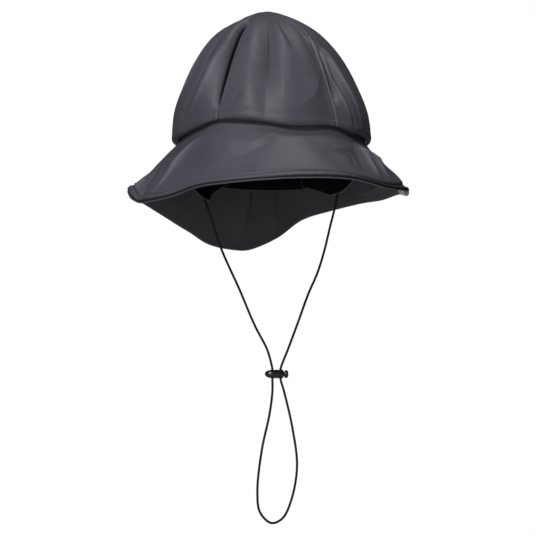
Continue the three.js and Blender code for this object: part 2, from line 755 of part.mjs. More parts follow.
// Button: a domed cap and a stem with a long slot for each strand of cord.
function lockButton() {
  const capStart = LOCK_RIGHT + GAP + BUTTON_TRAVEL;
  const cap = loftAlongX([
    { x: capStart, size: 0.88 },
    { x: capStart + CAP_LENGTH * 0.55, size: 0.92 },
    { x: capStart + CAP_LENGTH * 0.85, size: 0.8 },
    { x: capStart + CAP_LENGTH, size: 0.55 },
  ]);
  const stemEnd = LOCK_RIGHT - BORE_DEPTH + BUTTON_TRAVEL + GAP;
  const stem = roundBar(BORE_RADIUS - GAP, "x", stemEnd, capStart + 1, 0, 0);
  let button = toSolid(cap).add(toSolid(stem));
  const width = 2 * (CORD_RADIUS + GAP);
  for (const hole of [HOLE_LEFT, HOLE_RIGHT]) {
    const slot = new THREE.BoxGeometry(width + BUTTON_TRAVEL, width, 4 * BORE_RADIUS);
    slot.translate(hole + BUTTON_TRAVEL / 2, 0, 0);
    button = button.subtract(toSolid(plainSolid(slot)));
  }
  const geometry = fromSolid(button);
  geometry.translate(LOCK_X, LOCK_Y, LOCK_Z);
  return geometry;
}

// Puts one named piece into the hat.
function addPiece(hat, name, geometry, colour, roughness) {
  const surface = new THREE.MeshStandardMaterial({ name: `${name}_material`, color: colour, roughness });
  geometry.computeVertexNormals();
  const piece = new THREE.Mesh(geometry, surface);
  piece.name = name;
  hat.add(piece);
}

function build() {
  const hat = new THREE.Group();
  hat.name = "sou_wester_hat";
  for (const gore of GORES) {
    addPiece(hat, gore.name, crownGore(gore), 0x45454d, 0.5);
  }
  addPiece(hat, "brim_outer", brimOuter(), 0x45454d, 0.5);
  addPiece(hat, "brim_facing", brimFacing(), 0x2e2e33, 0.6);
  addPiece(hat, "inner_band", innerBand(), 0x111113, 0.8);
  for (const tab of EAR_TABS) {
    addPiece(hat, tab.name, socketedTab(tab), 0x0e0e10, 0.75);
  }
  addPiece(hat, "chin_cord", chinCord(), 0x1c1c1e, 0.7);
  addPiece(hat, "cord_lock_body", lockBody(), 0x111112, 0.3);
  addPiece(hat, "cord_lock_button", lockButton(), 0x141416, 0.3);
  return hat;
}

export default build();
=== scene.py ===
import math

import bpy
import numpy as np
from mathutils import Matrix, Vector, noise


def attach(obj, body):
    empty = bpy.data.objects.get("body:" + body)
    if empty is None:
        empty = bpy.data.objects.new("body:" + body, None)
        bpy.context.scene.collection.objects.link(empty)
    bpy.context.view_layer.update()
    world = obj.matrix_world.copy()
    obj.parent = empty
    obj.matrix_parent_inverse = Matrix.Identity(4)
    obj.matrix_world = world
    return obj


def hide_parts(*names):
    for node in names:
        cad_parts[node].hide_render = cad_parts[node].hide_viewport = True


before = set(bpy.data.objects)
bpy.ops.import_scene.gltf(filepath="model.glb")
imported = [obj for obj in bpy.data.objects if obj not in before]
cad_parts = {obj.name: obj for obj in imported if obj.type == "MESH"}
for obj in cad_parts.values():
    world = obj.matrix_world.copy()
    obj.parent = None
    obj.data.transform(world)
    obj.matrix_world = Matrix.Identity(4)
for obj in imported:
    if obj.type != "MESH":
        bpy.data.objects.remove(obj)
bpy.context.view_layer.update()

MM = 0.001

# Sizes in millimetres, the same as the solids have.
CLOTH = 1.2
FACING_CLOTH = 1.0
BAND_CLOTH = 1.5
GAP = 0.3
SEAM_HALF_WIDTH = 92
SEAM_HALF_LENGTH = 96
SEAM_SLACK = 0.55
SEAM_RISE = 5
LIP_REACH = 0.92
CROWN_HALF_WIDTH = SEAM_HALF_WIDTH / LIP_REACH
CROWN_HALF_LENGTH = SEAM_HALF_LENGTH / LIP_REACH
CROWN_HEIGHT = 134
CROWN_LEAN = -4.5
CROWN_LEAN_POWER = 1.2
LIP_DROOP = 3
FOLD_DEPTH = 5
SEAM_DIP = 2.2
SEAM_DIP_SPREAD = 7
BRIM_HALF_WIDTH = 141
FLAP_DROP = 87
BRIM_FLARE = 0.25
BRIM_FOLD_DEPTH = 4
COLLAR_HEIGHT = 10
HEM = 7
HEM_PUFF = 1.3
FACING_PEEK = 1.4
BAND_TOP = 8
BAND_DROP = 34.5
BAND_TAPER = 2.5
TAB_TOP = -12
TAB_CLOTH = 1.8
TAB_TIP_HALF = 2.6
TAB_SOCKET = 7
TAB_SHOULDER = 0.8
CORD_RADIUS = 1.2
LOCK_PLACE = (10.4, 36, -232)
LOCK_LEFT = 12
LOCK_RIGHT = 6.6
LOCK_HALF_HEIGHT = 4.4
LOCK_HALF_DEPTH = 5
HOLE_LEFT = -4.4
HOLE_RIGHT = 3.9
BORE_RADIUS = 2.8
BORE_DEPTH = 13.8
BUTTON_TRAVEL = 1.2
CAP_LENGTH = 3.6

# Sizes in millimetres that only the picture's finer relief has.
LIP_ROLL = 1.8
LIP_ROLL_PLACE = 9.0
LIP_ROLL_SPREAD = 4.6
THREAD_RADIUS = 0.24
STITCH = 2.6
STITCH_GAP = 0.9
MOULD_ROUND = 0.22

# Counts of points in the meshes.
BRIM_COLUMNS = 960
BAND_COLUMNS = 720
GORE_ROWS = 181
LOCK_SIDES = 72
BAR_SIDES = 48

# Camera: angles in degrees, places in metres.
CAMERA_AZIMUTH = -8
CAMERA_ELEVATION = -8
CAMERA_DISTANCE = 2.0
CAMERA_AIM = (0, 0, -0.129)
CAMERA_SHIFT = -0.0035
PICTURE_WIDTH = 0.536
SENSOR_WIDTH = 36

# Light panels: name, place, width and height in metres, and power in watts.
LIGHTS = [
    ("key", (-0.75, -1.60, 1.15), 0.6, 0.6, 48),
    ("top_light", (0.30, -0.35, 1.75), 0.4, 0.4, 15),
    ("back_light", (0.1, 2.3, 0.35), 0.5, 1.0, 11),
    ("low_fill", (-0.8, -1.9, -0.25), 0.8, 0.4, 17),
]
ROOM_LIGHT = 0.07

# Crown outline: reach and height as shares of the crown's half width and height.
CROWN_PROFILE = np.array([
    (LIP_REACH, 0.004), (0.94, -0.012), (0.975, -0.01), (0.997, 0.045), (1.0, 0.1), (0.982, 0.185),
    (0.935, 0.3), (0.845, 0.47), (0.735, 0.62), (0.603, 0.75), (0.445, 0.854), (0.26, 0.932), (0.1, 0.982),
    (0.0, 1.0),
])

# Crown seams: angle at the foot and at the top, and depth of the sewn groove in mm.
CROWN_SEAMS = [
    {"foot": -41, "top": -34, "depth": 1.1},
    {"foot": 32, "top": 25, "depth": 1.0},
    {"foot": 98, "top": 90, "depth": 1.0},
    {"foot": 148, "top": 144, "depth": 1.0},
    {"foot": 204, "top": 206, "depth": 1.0},
    {"foot": 252, "top": 264, "depth": 1.0},
]
# Gores in the seams' order, each between its own seam and the next one.
GORES = ["front", "front_right", "back_right", "back", "back_left", "front_left"]

# Folds: from, to, foot angle, top angle, depth as a share of the fold depth, spread in degrees.
CROWN_FOLDS = [
    (0.04, 0.84, -41, -33, -0.25, 4),
    (0.06, 0.95, -54, -42, 0.5, 6),
    (-0.06, 0.5, -78, -44, 0.6, 6),
    (-0.1, 1.0, -66, -66, -0.35, 9),
    (-0.1, 0.95, -10, -9, -0.4, 7),
    (-0.1, 0.9, 1, 3, 0.4, 7),
    (-0.1, 0.8, -21, -22, 0.35, 8),
    (-0.05, 0.4, 20, 32, -0.5, 9),
    (0.3, 0.85, 30, 19, -0.2, 4),
    (-0.1, 0.8, 50, 24, 0.5, 5),
    (-0.05, 0.6, 66, 32, 0.45, 5),
    (-0.1, 0.7, 118, 118, 0.4, 12),
    (0.1, 0.9, 170, 174, -0.4, 9),
    (-0.1, 0.7, 190, 188, 0.4, 10),
    (-0.1, 0.7, 230, 232, 0.45, 11),
]
# Crease lines on top of the folds: height in mm, half widths in mm to the left and to the right of
# the line, how sharp its crest is (1 is sharpest), and its places as an angle and a share of the way.
CROWN_CREASES = [
    (-13.0, 3.0, 1.3, 1.3, [(-41, 0.1), (-37, 0.45), (-37, 0.75)]),
    (2.5, 8.0, 7.0, 1.2, [(-65, 0.05), (-50, 0.3), (-40, 0.65)]),
    (-7.5, 4.0, 5.0, 1.2, [(-70, 0.1), (-60, 0.4), (-65, 0.8)]),
    (2.4, 4.0, 5.0, 1.2, [(-90, 0.1), (-75, 0.4), (-80, 0.75)]),
    (-3.6, 12.0, 6.5, 1.15, [(-12, 0.05), (-10, 0.45), (-9, 0.85)]),
    (1.5, 3.6, 12.0, 1.3, [(-2, 0.1), (-2, 0.5), (-5, 0.8)]),
    (0.8, 8.0, 6.0, 1.5, [(-20, 0.15), (-22, 0.45), (-25, 0.7)]),
    (-2.4, 2.6, 8.0, 1.3, [(10, 0.45), (4, 0.65), (3, 0.8)]),
    (3.2, 10.0, 1.6, 1.2, [(31, 0.45), (25, 0.65), (14, 0.85)]),
    (-9.0, 1.3, 1.6, 1.3, [(27, 0.58), (26, 0.64), (25, 0.7)]),
    (-8.0, 1.1, 2.4, 1.3, [(33, 0.15), (32, 0.35), (31, 0.5)]),
    (3.6, 2.2, 2.8, 1.05, [(43, 0.05), (35, 0.25), (31, 0.5)]),
    (-5.0, 2.2, 3.0, 1.2, [(46, 0.05), (38, 0.25), (34, 0.45)]),
    (4.4, 2.4, 7.0, 1.05, [(55, 0.05), (41, 0.28), (35, 0.5)]),
    (1.4, 10.0, 5.0, 1.3, [(5, 0.1), (18, 0.2), (28, 0.38)]),
    (-1.6, 4.0, 4.0, 1.4, [(-36, 0.1), (-30, 0.15), (-25, 0.2)]),
    (1.0, 5.0, 5.0, 1.4, [(86, 0.06), (82, 0.42), (74, 0.8)]),
    (1.3, 4.0, 8.0, 1.3, [(124, 0.06), (114, 0.35), (108, 0.62)]),
    (1.5, 7.0, 4.0, 1.3, [(130, 0.12), (138, 0.5), (140, 0.82)]),
    (-1.5, 8.0, 5.0, 1.5, [(172, 0.08), (170, 0.5), (166, 0.9)]),
    (1.2, 4.0, 9.0, 1.3, [(186, 0.1), (183, 0.45), (180, 0.8)]),
    (1.5, 4.0, 8.0, 1.3, [(220, 0.1), (213, 0.45), (210, 0.8)]),
    (1.3, 7.0, 4.0, 1.3, [(234, 0.05), (240, 0.3), (244, 0.62)]),
]
# How the head seam rises and dips around the front, in shares of the seam's rise.
SEAM_WAVE = [
    (-90, 0), (-66, 0.1), (-55, 0.5), (-44, 1.0), (-27, 0.85), (-17, 0.42), (-7, -0.05), (4, -0.25),
    (19, 0.1), (32, 0.2), (46, -0.15), (66, 0), (180, 0),
]
# How the crown's lower lip droops below the seam around the front.
LIP_WAVE = [(-90, 0.2), (-40, -0.2), (-15, 0.1), (10, 1.0), (30, 0.7), (60, 0.3), (100, 0.0), (180, 0.3)]

# Brim edge: angle, reach as a share of the brim's half width, drop as a share of the flap's drop.
BRIM_EDGE = [
    (0, 0.98, 0.71), (25, 0.99, 0.68), (45, 0.99, 0.71), (60, 0.99, 0.67), (73, 0.99, 0.62),
    (87, 0.985, 0.6), (100, 0.985, 0.52), (115, 0.99, 0.52), (130, 1.0, 0.51), (148, 1.03, 0.56),
    (160, 1.06, 0.645), (170, 1.1, 0.845), (180, 1.12, 0.985), (185, 1.13, 1.0), (197, 1.12, 0.95),
    (207, 1.1, 0.815), (221, 1.06, 0.69), (236, 1.04, 0.605), (255, 1.035, 0.57), (269, 1.035, 0.615),
    (276, 1.02, 0.735), (286, 0.99, 0.815), (300, 0.99, 0.85), (310, 0.99, 0.835), (321, 0.99, 0.78),
    (340, 0.985, 0.745),
]
BRIM_FOLDS = [
    (0.0, 0.85, -44, -86, 0.8, 6),
    (0.5, 1.1, -74, -76, 0.4, 5),
    (0.45, 1.2, -101, -66, -0.75, 5),
    (0.0, 0.9, -30, -18, -0.3, 6),
    (0.1, 1.0, 14, 30, -0.3, 6),
    (0.05, 1.0, 40, 76, 0.6, 6),
    (-0.1, 0.95, -98, -104, 0.45, 14),
    (-0.1, 1.0, 84, 88, 0.4, 13),
    (0.1, 1.05, 158, 164, -0.5, 7),
    (0.1, 1.05, 218, 213, -0.4, 8),
]
BRIM_CREASES = [
    (4.0, 7.0, 5.0, 1.15, [(-50, 0.1), (-63, 0.45), (-70, 1.0)]),
    (-4.2, 3.0, 5.0, 1.3, [(-88, 0.45), (-84, 0.75), (-78, 1.05)]),
    (2.4, 3.0, 3.0, 1.3, [(-93, 0.55), (-89, 0.8), (-86, 1.0)]),
    (1.3, 3.6, 4.4, 1.2, [(-40, 0.15), (-20, 0.33), (0, 0.12)]),
    (-1.3, 5.0, 4.0, 1.3, [(-42, 0.28), (-25, 0.5), (-6, 0.3)]),
    (-2.2, 6.0, 5.0, 1.6, [(0, 0.1), (25, 0.17), (52, 0.2)]),
    (-2.4, 2.2, 3.6, 1.2, [(20, 0.45), (35, 0.5), (32, 0.7)]),
    (1.8, 2.0, 2.8, 1.1, [(25, 0.4), (33, 0.37), (40, 0.38)]),
    (-2.4, 7.0, 8.0, 1.2, [(43, 0.15), (41, 0.5), (36, 0.85)]),
    (3.8, 5.0, 7.0, 1.3, [(47, 0.2), (48, 0.55), (46, 0.85)]),
    (3.4, 3.0, 4.0, 1.2, [(51, 0.25), (55, 0.55), (56, 0.85)]),
    (3.0, 4.0, 4.4, 1.1, [(37, 0.17), (52, 0.47), (74, 0.9)]),
    (-2.0, 3.4, 4.0, 1.2, [(52, 0.25), (65, 0.5), (77, 0.75)]),
    (-5.0, 2.4, 3.2, 1.4, [(22, 0.93), (53, 0.91), (84, 0.93)]),
    (1.0, 4.0, 4.0, 1.3, [(92, 0.12), (94, 0.35), (88, 0.55)]),
    (1.2, 4.0, 6.0, 1.4, [(104, 0.05), (110, 0.4), (116, 0.8)]),
    (1.5, 6.0, 4.0, 1.3, [(150, 0.04), (155, 0.4), (162, 0.9)]),
    (-3.6, 9.0, 6.0, 1.6, [(172, 0.1), (171, 0.5), (172, 1.0)]),
    (-3.6, 6.0, 9.0, 1.6, [(187, 0.1), (186, 0.5), (184, 1.0)]),
    (1.5, 4.0, 6.0, 1.3, [(226, 0.04), (220, 0.4), (214, 0.9)]),
    (1.2, 6.0, 4.0, 1.4, [(250, 0.05), (246, 0.4), (240, 0.8)]),
]
# Folds of the under layer that its face alone shows, in the same way as the creases.
FACING_FOLDS = [
    (3.0, 3.5, 9.0, 1.2, [(185, 0.14), (184, 0.45), (185, 0.88)]),
    (2.4, 4.0, 8.0, 1.3, [(171, 0.14), (172, 0.5), (170, 0.85)]),
    (2.2, 4.0, 7.0, 1.2, [(212, 0.16), (215, 0.5), (221, 0.86)]),
    (2.8, 5.0, 3.0, 1.1, [(78, 0.84), (94, 0.76), (110, 0.74), (126, 0.8)]),
]
EAR_TABS = [
    {"name": "ear_tab_left", "front": -86, "rear": -155, "tip": -118, "reach": 0.785, "drop": 0.635},
    {"name": "ear_tab_right", "front": 84, "rear": 150, "tip": 113, "reach": 0.86, "drop": 0.54},
]

# Route of the cord in metres, from the left tab through the lock, around the loop and back up.
CORD_ROUTE_LEFT = [
    (-0.0584, 0.0328, -0.071), (-0.0465, 0.036, -0.105), (-0.0275, 0.036, -0.147), (-0.012, 0.036, -0.183),
    (0.0005, 0.036, -0.207), (0.0045, 0.036, -0.220),
]
CORD_LOOP = [
    (0.006, 0.036, -0.250), (0.003, 0.036, -0.273), (-0.0046, 0.036, -0.308), (-0.0092, 0.036, -0.350),
    (-0.0065, 0.036, -0.371), (0.0048, 0.036, -0.3815), (0.016, 0.036, -0.377), (0.025, 0.036, -0.359),
    (0.031, 0.036, -0.325), (0.0265, 0.036, -0.287), (0.018, 0.036, -0.250),
]
CORD_ROUTE_RIGHT = [
    (0.017, 0.036, -0.219), (0.0215, 0.036, -0.208), (0.032, 0.036, -0.180), (0.043, 0.0365, -0.150),
    (0.053, 0.037, -0.127), (0.060, 0.0362, -0.104), (0.0655, 0.0338, -0.080), (0.0699, 0.0304, -0.061),
]


def hermite(u, first, last, leave, arrive):
    """Curve from the first value to the last, by the slopes at which it leaves and arrives."""
    return ((2 * u ** 3 - 3 * u ** 2 + 1) * first + (u ** 3 - 2 * u ** 2 + u) * leave
            + (3 * u ** 2 - 2 * u ** 3) * last + (u ** 3 - u ** 2) * arrive)


def cubic(xs, ys, x):
    """Smooth curve through the knots, with slopes taken from each knot's neighbours."""
    x = np.asarray(x, float)
    k = np.clip(np.searchsorted(xs, x, side="left") - 1, 0, len(xs) - 2)
    low = np.maximum(np.arange(len(xs)) - 1, 0)
    high = np.minimum(np.arange(len(xs)) + 1, len(xs) - 1)
    slope = (ys[high] - ys[low]) / (xs[high] - xs[low])
    h = xs[k + 1] - xs[k]
    return hermite((x - xs[k]) / h, ys[k], ys[k + 1], slope[k] * h, slope[k + 1] * h)


def run_along(points):
    """Length gone along a line at each of its points."""
    return np.concatenate([[0], np.cumsum(np.linalg.norm(np.diff(points, axis=0), axis=1))])


def unit(vectors):
    """The vectors with a length of one."""
    return vectors / np.linalg.norm(vectors, axis=-1, keepdims=True)


def bell(distance, width, power=2):
    """Soft bump, 1 at its middle and falling off over its width."""
    return np.exp(-(distance / width) ** power)


def rounded(distance, radius):
    """Quarter round, 0 at an edge and 1 from its radius on."""
    return np.sqrt(np.clip(1 - (1 - np.clip(distance / radius, 0, 1)) ** 2, 0, 1))


def around(table, column, angle):
    """One column of an angle table that runs once round the hat."""
    rows = np.array(table, float)
    whole_turn = np.zeros(rows.shape[1])
    whole_turn[0] = 360
    knots = np.vstack([rows[-2:] - whole_turn, rows, rows[:2] + whole_turn])
    turned = (np.asarray(angle, float) - rows[0, 0]) % 360 + rows[0, 0]
    return cubic(knots[:, 0], knots[:, column], turned)


def angle_between(a, b):
    """Difference of two angles, between -180 and 180 degrees."""
    return (a - b + 180) % 360 - 180


def folds_at(folds, angle, along):
    """Sum of the folds at each place."""
    total = np.zeros(np.broadcast(angle, along).shape)
    for start, end, foot, top, depth, spread in folds:
        share = (along - start) / (end - start)
        inside = (share > 0) & (share < 1)
        off = angle_between(angle, foot + (top - foot) * share)
        wave = depth * np.sin(np.pi * np.clip(share, 0, 1)) * bell(off, spread)
        total = total + np.where(inside, wave, 0)
    return total


def crease_line(places):
    """Smooth line through a crease's places, as rows of an angle and a share."""
    knots = np.array(places, float)
    order = np.arange(len(knots), dtype=float)
    marks = np.linspace(0, len(knots) - 1, 8 * len(knots))
    return np.stack([cubic(order, column, marks) for column in knots.T], axis=1)


def creases_at(creases, angle, along, radius, length):
    """Sum in mm of the crease lines at each place, with the radius and the length there in mm."""
    angle, along, radius, length = np.broadcast_arrays(angle, along, radius, length)
    total = np.zeros(angle.shape)
    for height, left, right, sharpness, places in creases:
        line = crease_line(places)
        low, high = line.min(axis=0), line.max(axis=0)
        reach = 3.2 * max(left, right)
        span = (high[0] - low[0]) / 2 + np.degrees(reach / radius)
        close = np.abs(angle_between(angle, (low[0] + high[0]) / 2)) < span
        close &= (along - low[1]) * length > -reach
        close &= (along - high[1]) * length < reach
        turn, way, far, long = angle[close], along[close], radius[close], length[close]
        nearest = np.full(turn.shape, 1e9)
        share = np.zeros(turn.shape)
        width = np.full(turn.shape, float(left))
        steps = len(line) - 1
        for k in range(steps):
            ax = np.radians(angle_between(line[k, 0], turn)) * far
            ay = (line[k, 1] - way) * long
            bx = np.radians(angle_between(line[k + 1, 0], turn)) * far - ax
            by = (line[k + 1, 1] - way) * long - ay
            part = np.clip(-(ax * bx + ay * by) / np.maximum(bx * bx + by * by, 1e-9), 0, 1)
            apart = np.hypot(ax + part * bx, ay + part * by)
            closer = apart < nearest
            share = np.where(closer, (k + part) / steps, share)
            width = np.where(closer, np.where(by * ax > bx * ay, left, right), width)
            nearest = np.minimum(nearest, apart)
        taper = np.sin(np.pi * np.clip(share, 0, 1)) ** 0.8
        total[close] += height * taper * bell(nearest, width, sharpness)
    return total


def smoothstep(x, low, high):
    """Eased step from 0 to 1."""
    u = np.clip((x - low) / (high - low), 0, 1)
    return u * u * (3 - 2 * u)


def rough(points, size, shift=0.0):
    """Soft noise between about -1 and 1 at points in mm, with waves of about the given size."""
    flat = np.asarray(points, float).reshape(-1, 3) / size + shift
    values = [noise.noise(Vector(row)) for row in flat]
    return np.array(values).reshape(np.asarray(points).shape[:-1])


def outward(angle):
    """Direction out from the axis."""
    turn = np.radians(angle)
    return np.stack([np.sin(turn), -np.cos(turn), np.zeros_like(turn)], axis=-1)


def ellipse_points(half_width, half_length, angle, z):
    """Points of an ellipse of the hat at a height."""
    turn = np.radians(angle)
    parts = np.broadcast_arrays(half_width * np.sin(turn), -half_length * np.cos(turn), z)
    return np.stack(parts, axis=-1)


def seam_ring(depth, angle, z):
    """Points of the head seam's ellipse at a height, some depth in mm inside it."""
    return ellipse_points(SEAM_HALF_WIDTH - depth, SEAM_HALF_LENGTH - depth, angle, z)


CROWN_OUTLINE = CROWN_PROFILE * [CROWN_HALF_WIDTH, CROWN_HEIGHT]
PROFILE_RUN = run_along(CROWN_OUTLINE)
CROWN_RUN = PROFILE_RUN[-1]


def seam_height(angle):
    """Height of the head seam at an angle."""
    return SEAM_RISE * around(SEAM_WAVE, 1, angle)


def seam_angle(seam, along):
    """Angle of a crown seam at a share of the way up."""
    return seam["foot"] + (seam["top"] - seam["foot"]) * np.minimum(1, along / 0.8)


def crown_reach(along):
    """Distance from the axis as a share of the crown's half width."""
    return np.maximum(0, cubic(PROFILE_RUN, CROWN_PROFILE[:, 0], along * CROWN_RUN))


def crown_outline(run):
    """Distance from the axis and height of the crown's outline in mm, by the length along it."""
    return np.stack([cubic(PROFILE_RUN, column, run) for column in CROWN_OUTLINE.T])


def crown_points(angle, along, sunk, fine):
    """Points of the crown's cloth, sunk below its outer face."""
    run = along * CROWN_RUN
    reach = crown_reach(along)
    height = crown_outline(run)[1] + seam_height(angle) * (1 - smoothstep(along, 0, 0.25))
    ahead = crown_outline(np.minimum(CROWN_RUN, run + 0.5))
    across, rise = ahead - crown_outline(np.maximum(0, run - 0.5))
    size = np.hypot(across, rise)
    dip = 0
    for seam in CROWN_SEAMS:
        dip = dip - SEAM_DIP * bell(angle_between(angle, seam_angle(seam, along)), SEAM_DIP_SPREAD)
    push = FOLD_DEPTH * folds_at(CROWN_FOLDS, angle, along) + dip
    push = push * np.minimum(1, reach * 3) * np.minimum(1, along / 0.05) + fine - sunk
    lip = np.maximum(0, 1 - along / 0.12)
    droop = LIP_DROOP * around(LIP_WAVE, 1, angle) * lip * np.minimum(1, along / 0.035) ** 1.5
    points = ellipse_points(CROWN_HALF_WIDTH * reach, CROWN_HALF_LENGTH * reach, angle, height - droop)
    points = points + outward(angle) * (push * rise / size)[..., None]
    points[..., 2] += push * -across / size
    points[..., 0] += CROWN_LEAN * np.maximum(0, height / CROWN_HEIGHT) ** CROWN_LEAN_POWER
    return points


def crease_painted_light(creases):
    """Painted shade and highlight of a crease by its relief in mm: painted shade up to 1 deep in a pleat,
    painted highlight down to -1 on a ridge.
    """
    return smoothstep(-creases, 1.6, 5.0) - smoothstep(creases, 0.8, 3.4)


def crown_detail(angle, along):
    """Fine relief of the crown in mm (seams, creases, puckers, wrinkles, rolled lip) and its creases'
    painted shade and highlight.
    """
    reach = crown_reach(along) * CROWN_HALF_WIDTH
    run = along * CROWN_RUN
    relief = creases_at(CROWN_CREASES, angle, along, np.maximum(reach, 1), CROWN_RUN)
    # Painted shade deep in a pleat and painted highlight on a ridge, from the creases' relief.
    fold = crease_painted_light(relief)
    places = np.stack([reach * np.sin(np.radians(angle)), reach * np.cos(np.radians(angle)), run], axis=-1)
    relief = relief + 0.30 * rough(places * [1, 1, 0.7], 24.0) + 0.07 * rough(places, 7.0, 3.1)
    ripple = np.sin(run / 1.15 + 2.0 * rough(places, 9.0, 7.7)) * rough(places, 12.0, 1.3)
    for seam in CROWN_SEAMS:
        apart = np.abs(np.radians(angle_between(angle, seam_angle(seam, along)))) * reach
        relief = relief - seam["depth"] * bell(apart, 0.9, 1.4)
        relief = relief + 0.35 * bell(apart - 2.6, 1.7) + 0.22 * bell(apart, 4.5) * ripple
    roll = LIP_ROLL * bell(run - LIP_ROLL_PLACE, LIP_ROLL_SPREAD) - 0.3 * bell(run - 24, 6)
    return (relief * smoothstep(along, 0.0, 0.05) + roll) * np.minimum(1, reach / 25), fold


def brim_face(angle, along):
    """Points of the brim's plain face at shares of the way from seam to edge."""
    edge = outward(angle) * (BRIM_HALF_WIDTH * around(BRIM_EDGE, 1, angle))[..., None]
    drop = -FLAP_DROP * around(BRIM_EDGE, 2, angle)
    seam = seam_ring(SEAM_SLACK, angle, 0.0)
    bow = along * (1 - along)
    share = (along - BRIM_FLARE * bow)[..., None]
    points = seam * (1 - share) + edge * share
    wave = seam_height(angle) * (1 - smoothstep(along, 0, 0.5))
    points[..., 2] = drop * (along + 0.4 * BRIM_FLARE * bow) + wave
    return points


def brim_points(angle, along, lift, fine=0.0):
    """Points lifted off the brim's face, with its folds."""
    level = np.clip(along, 0.04, 0.96)
    across = brim_face(angle + 1, level) - brim_face(angle - 1, level)
    down = brim_face(angle, level + 0.04) - brim_face(angle, level - 0.04)
    normal = unit(np.cross(down, across))
    fold = BRIM_FOLD_DEPTH * folds_at(BRIM_FOLDS, angle, along) * smoothstep(along, 0, 0.3)
    return brim_face(angle, along) + normal * (fold + fine + lift)[..., None]


def brim_length(angle):
    """Length of the brim from seam to edge."""
    edge = brim_face(angle, np.ones_like(angle))
    return np.linalg.norm(edge - brim_face(angle, np.zeros_like(angle)), axis=-1)


def creases_on_brim(creases, angle, along):
    """Relief of a table of creases on the brim in mm."""
    places = brim_face(angle, along)
    radius = np.hypot(places[..., 0], places[..., 1])
    return creases_at(creases, angle, along, radius, brim_length(angle))


def brim_detail(angle, along):
    """Fine relief of the brim in mm that both of its layers share."""
    places = brim_face(angle, along)
    relief = creases_on_brim(BRIM_CREASES, angle, along)
    relief = relief + 0.35 * rough(places, 24.0, 5.2) + 0.07 * rough(places, 8.0, 2.4)
    return relief * smoothstep(along, 0.02, 0.12) * (1 - 0.5 * smoothstep(along, 0.85, 1.0))


def hem_lift(back, angle):
    """Height of the rolled hem over the face, by distance back from its edge in mm."""
    puff = HEM_PUFF * np.sin(np.pi * np.clip(back / HEM, 0, 1)) ** 0.55
    step = 0.45 * bell(back - HEM - 2.2, 1.5)
    groove = bell(back - HEM, 0.8)
    pucker = 0.28 * rough(outward(angle) * BRIM_HALF_WIDTH, 4.5, 8.8) * bell(back - HEM * 0.75, 4.0)
    return puff + step - groove + pucker


def grid_faces(rows, columns, closed):
    """Quads of a grid of points, as index rows."""
    last = columns if closed else columns - 1
    r, c = np.meshgrid(np.arange(rows - 1), np.arange(last), indexing="ij")
    r, c = r.ravel(), c.ravel()
    n = (c + 1) % columns
    return np.stack([r * columns + c, r * columns + n, (r + 1) * columns + n, (r + 1) * columns + c], axis=1)


def tube_faces(rings, sides):
    """Faces of a tube of rings of points, with both ends closed."""
    faces = grid_faces(rings, sides, True).tolist()
    faces.append(list(range(sides))[::-1])
    faces.append(list(range((rings - 1) * sides, rings * sides)))
    return faces


def rim_faces(top, low):
    """Faces that join the edge lines of two sheets, either of which may have fewer points."""
    cells = min(len(top), len(low)) - 1
    a = (len(top) - 1) // cells
    b = (len(low) - 1) // cells
    faces = []
    for k in range(cells):
        upper = top[k * a:(k + 1) * a + 1].tolist()
        lower = low[k * b:(k + 1) * b + 1].tolist()
        faces.append(upper[:1] + lower + upper[:0:-1])
    return faces


def placed(name, data):
    """New object in the scene."""
    thing = bpy.data.objects.new(name, data)
    bpy.context.scene.collection.objects.link(thing)
    return thing


def smooth_mesh(name, points, faces):
    """Smooth mesh from points in mm and faces."""
    mesh = bpy.data.meshes.new(name)
    mesh.from_pydata((np.asarray(points) * MM).tolist(), [], faces)
    mesh.polygons.foreach_set("use_smooth", np.ones(len(mesh.polygons), bool))
    return mesh


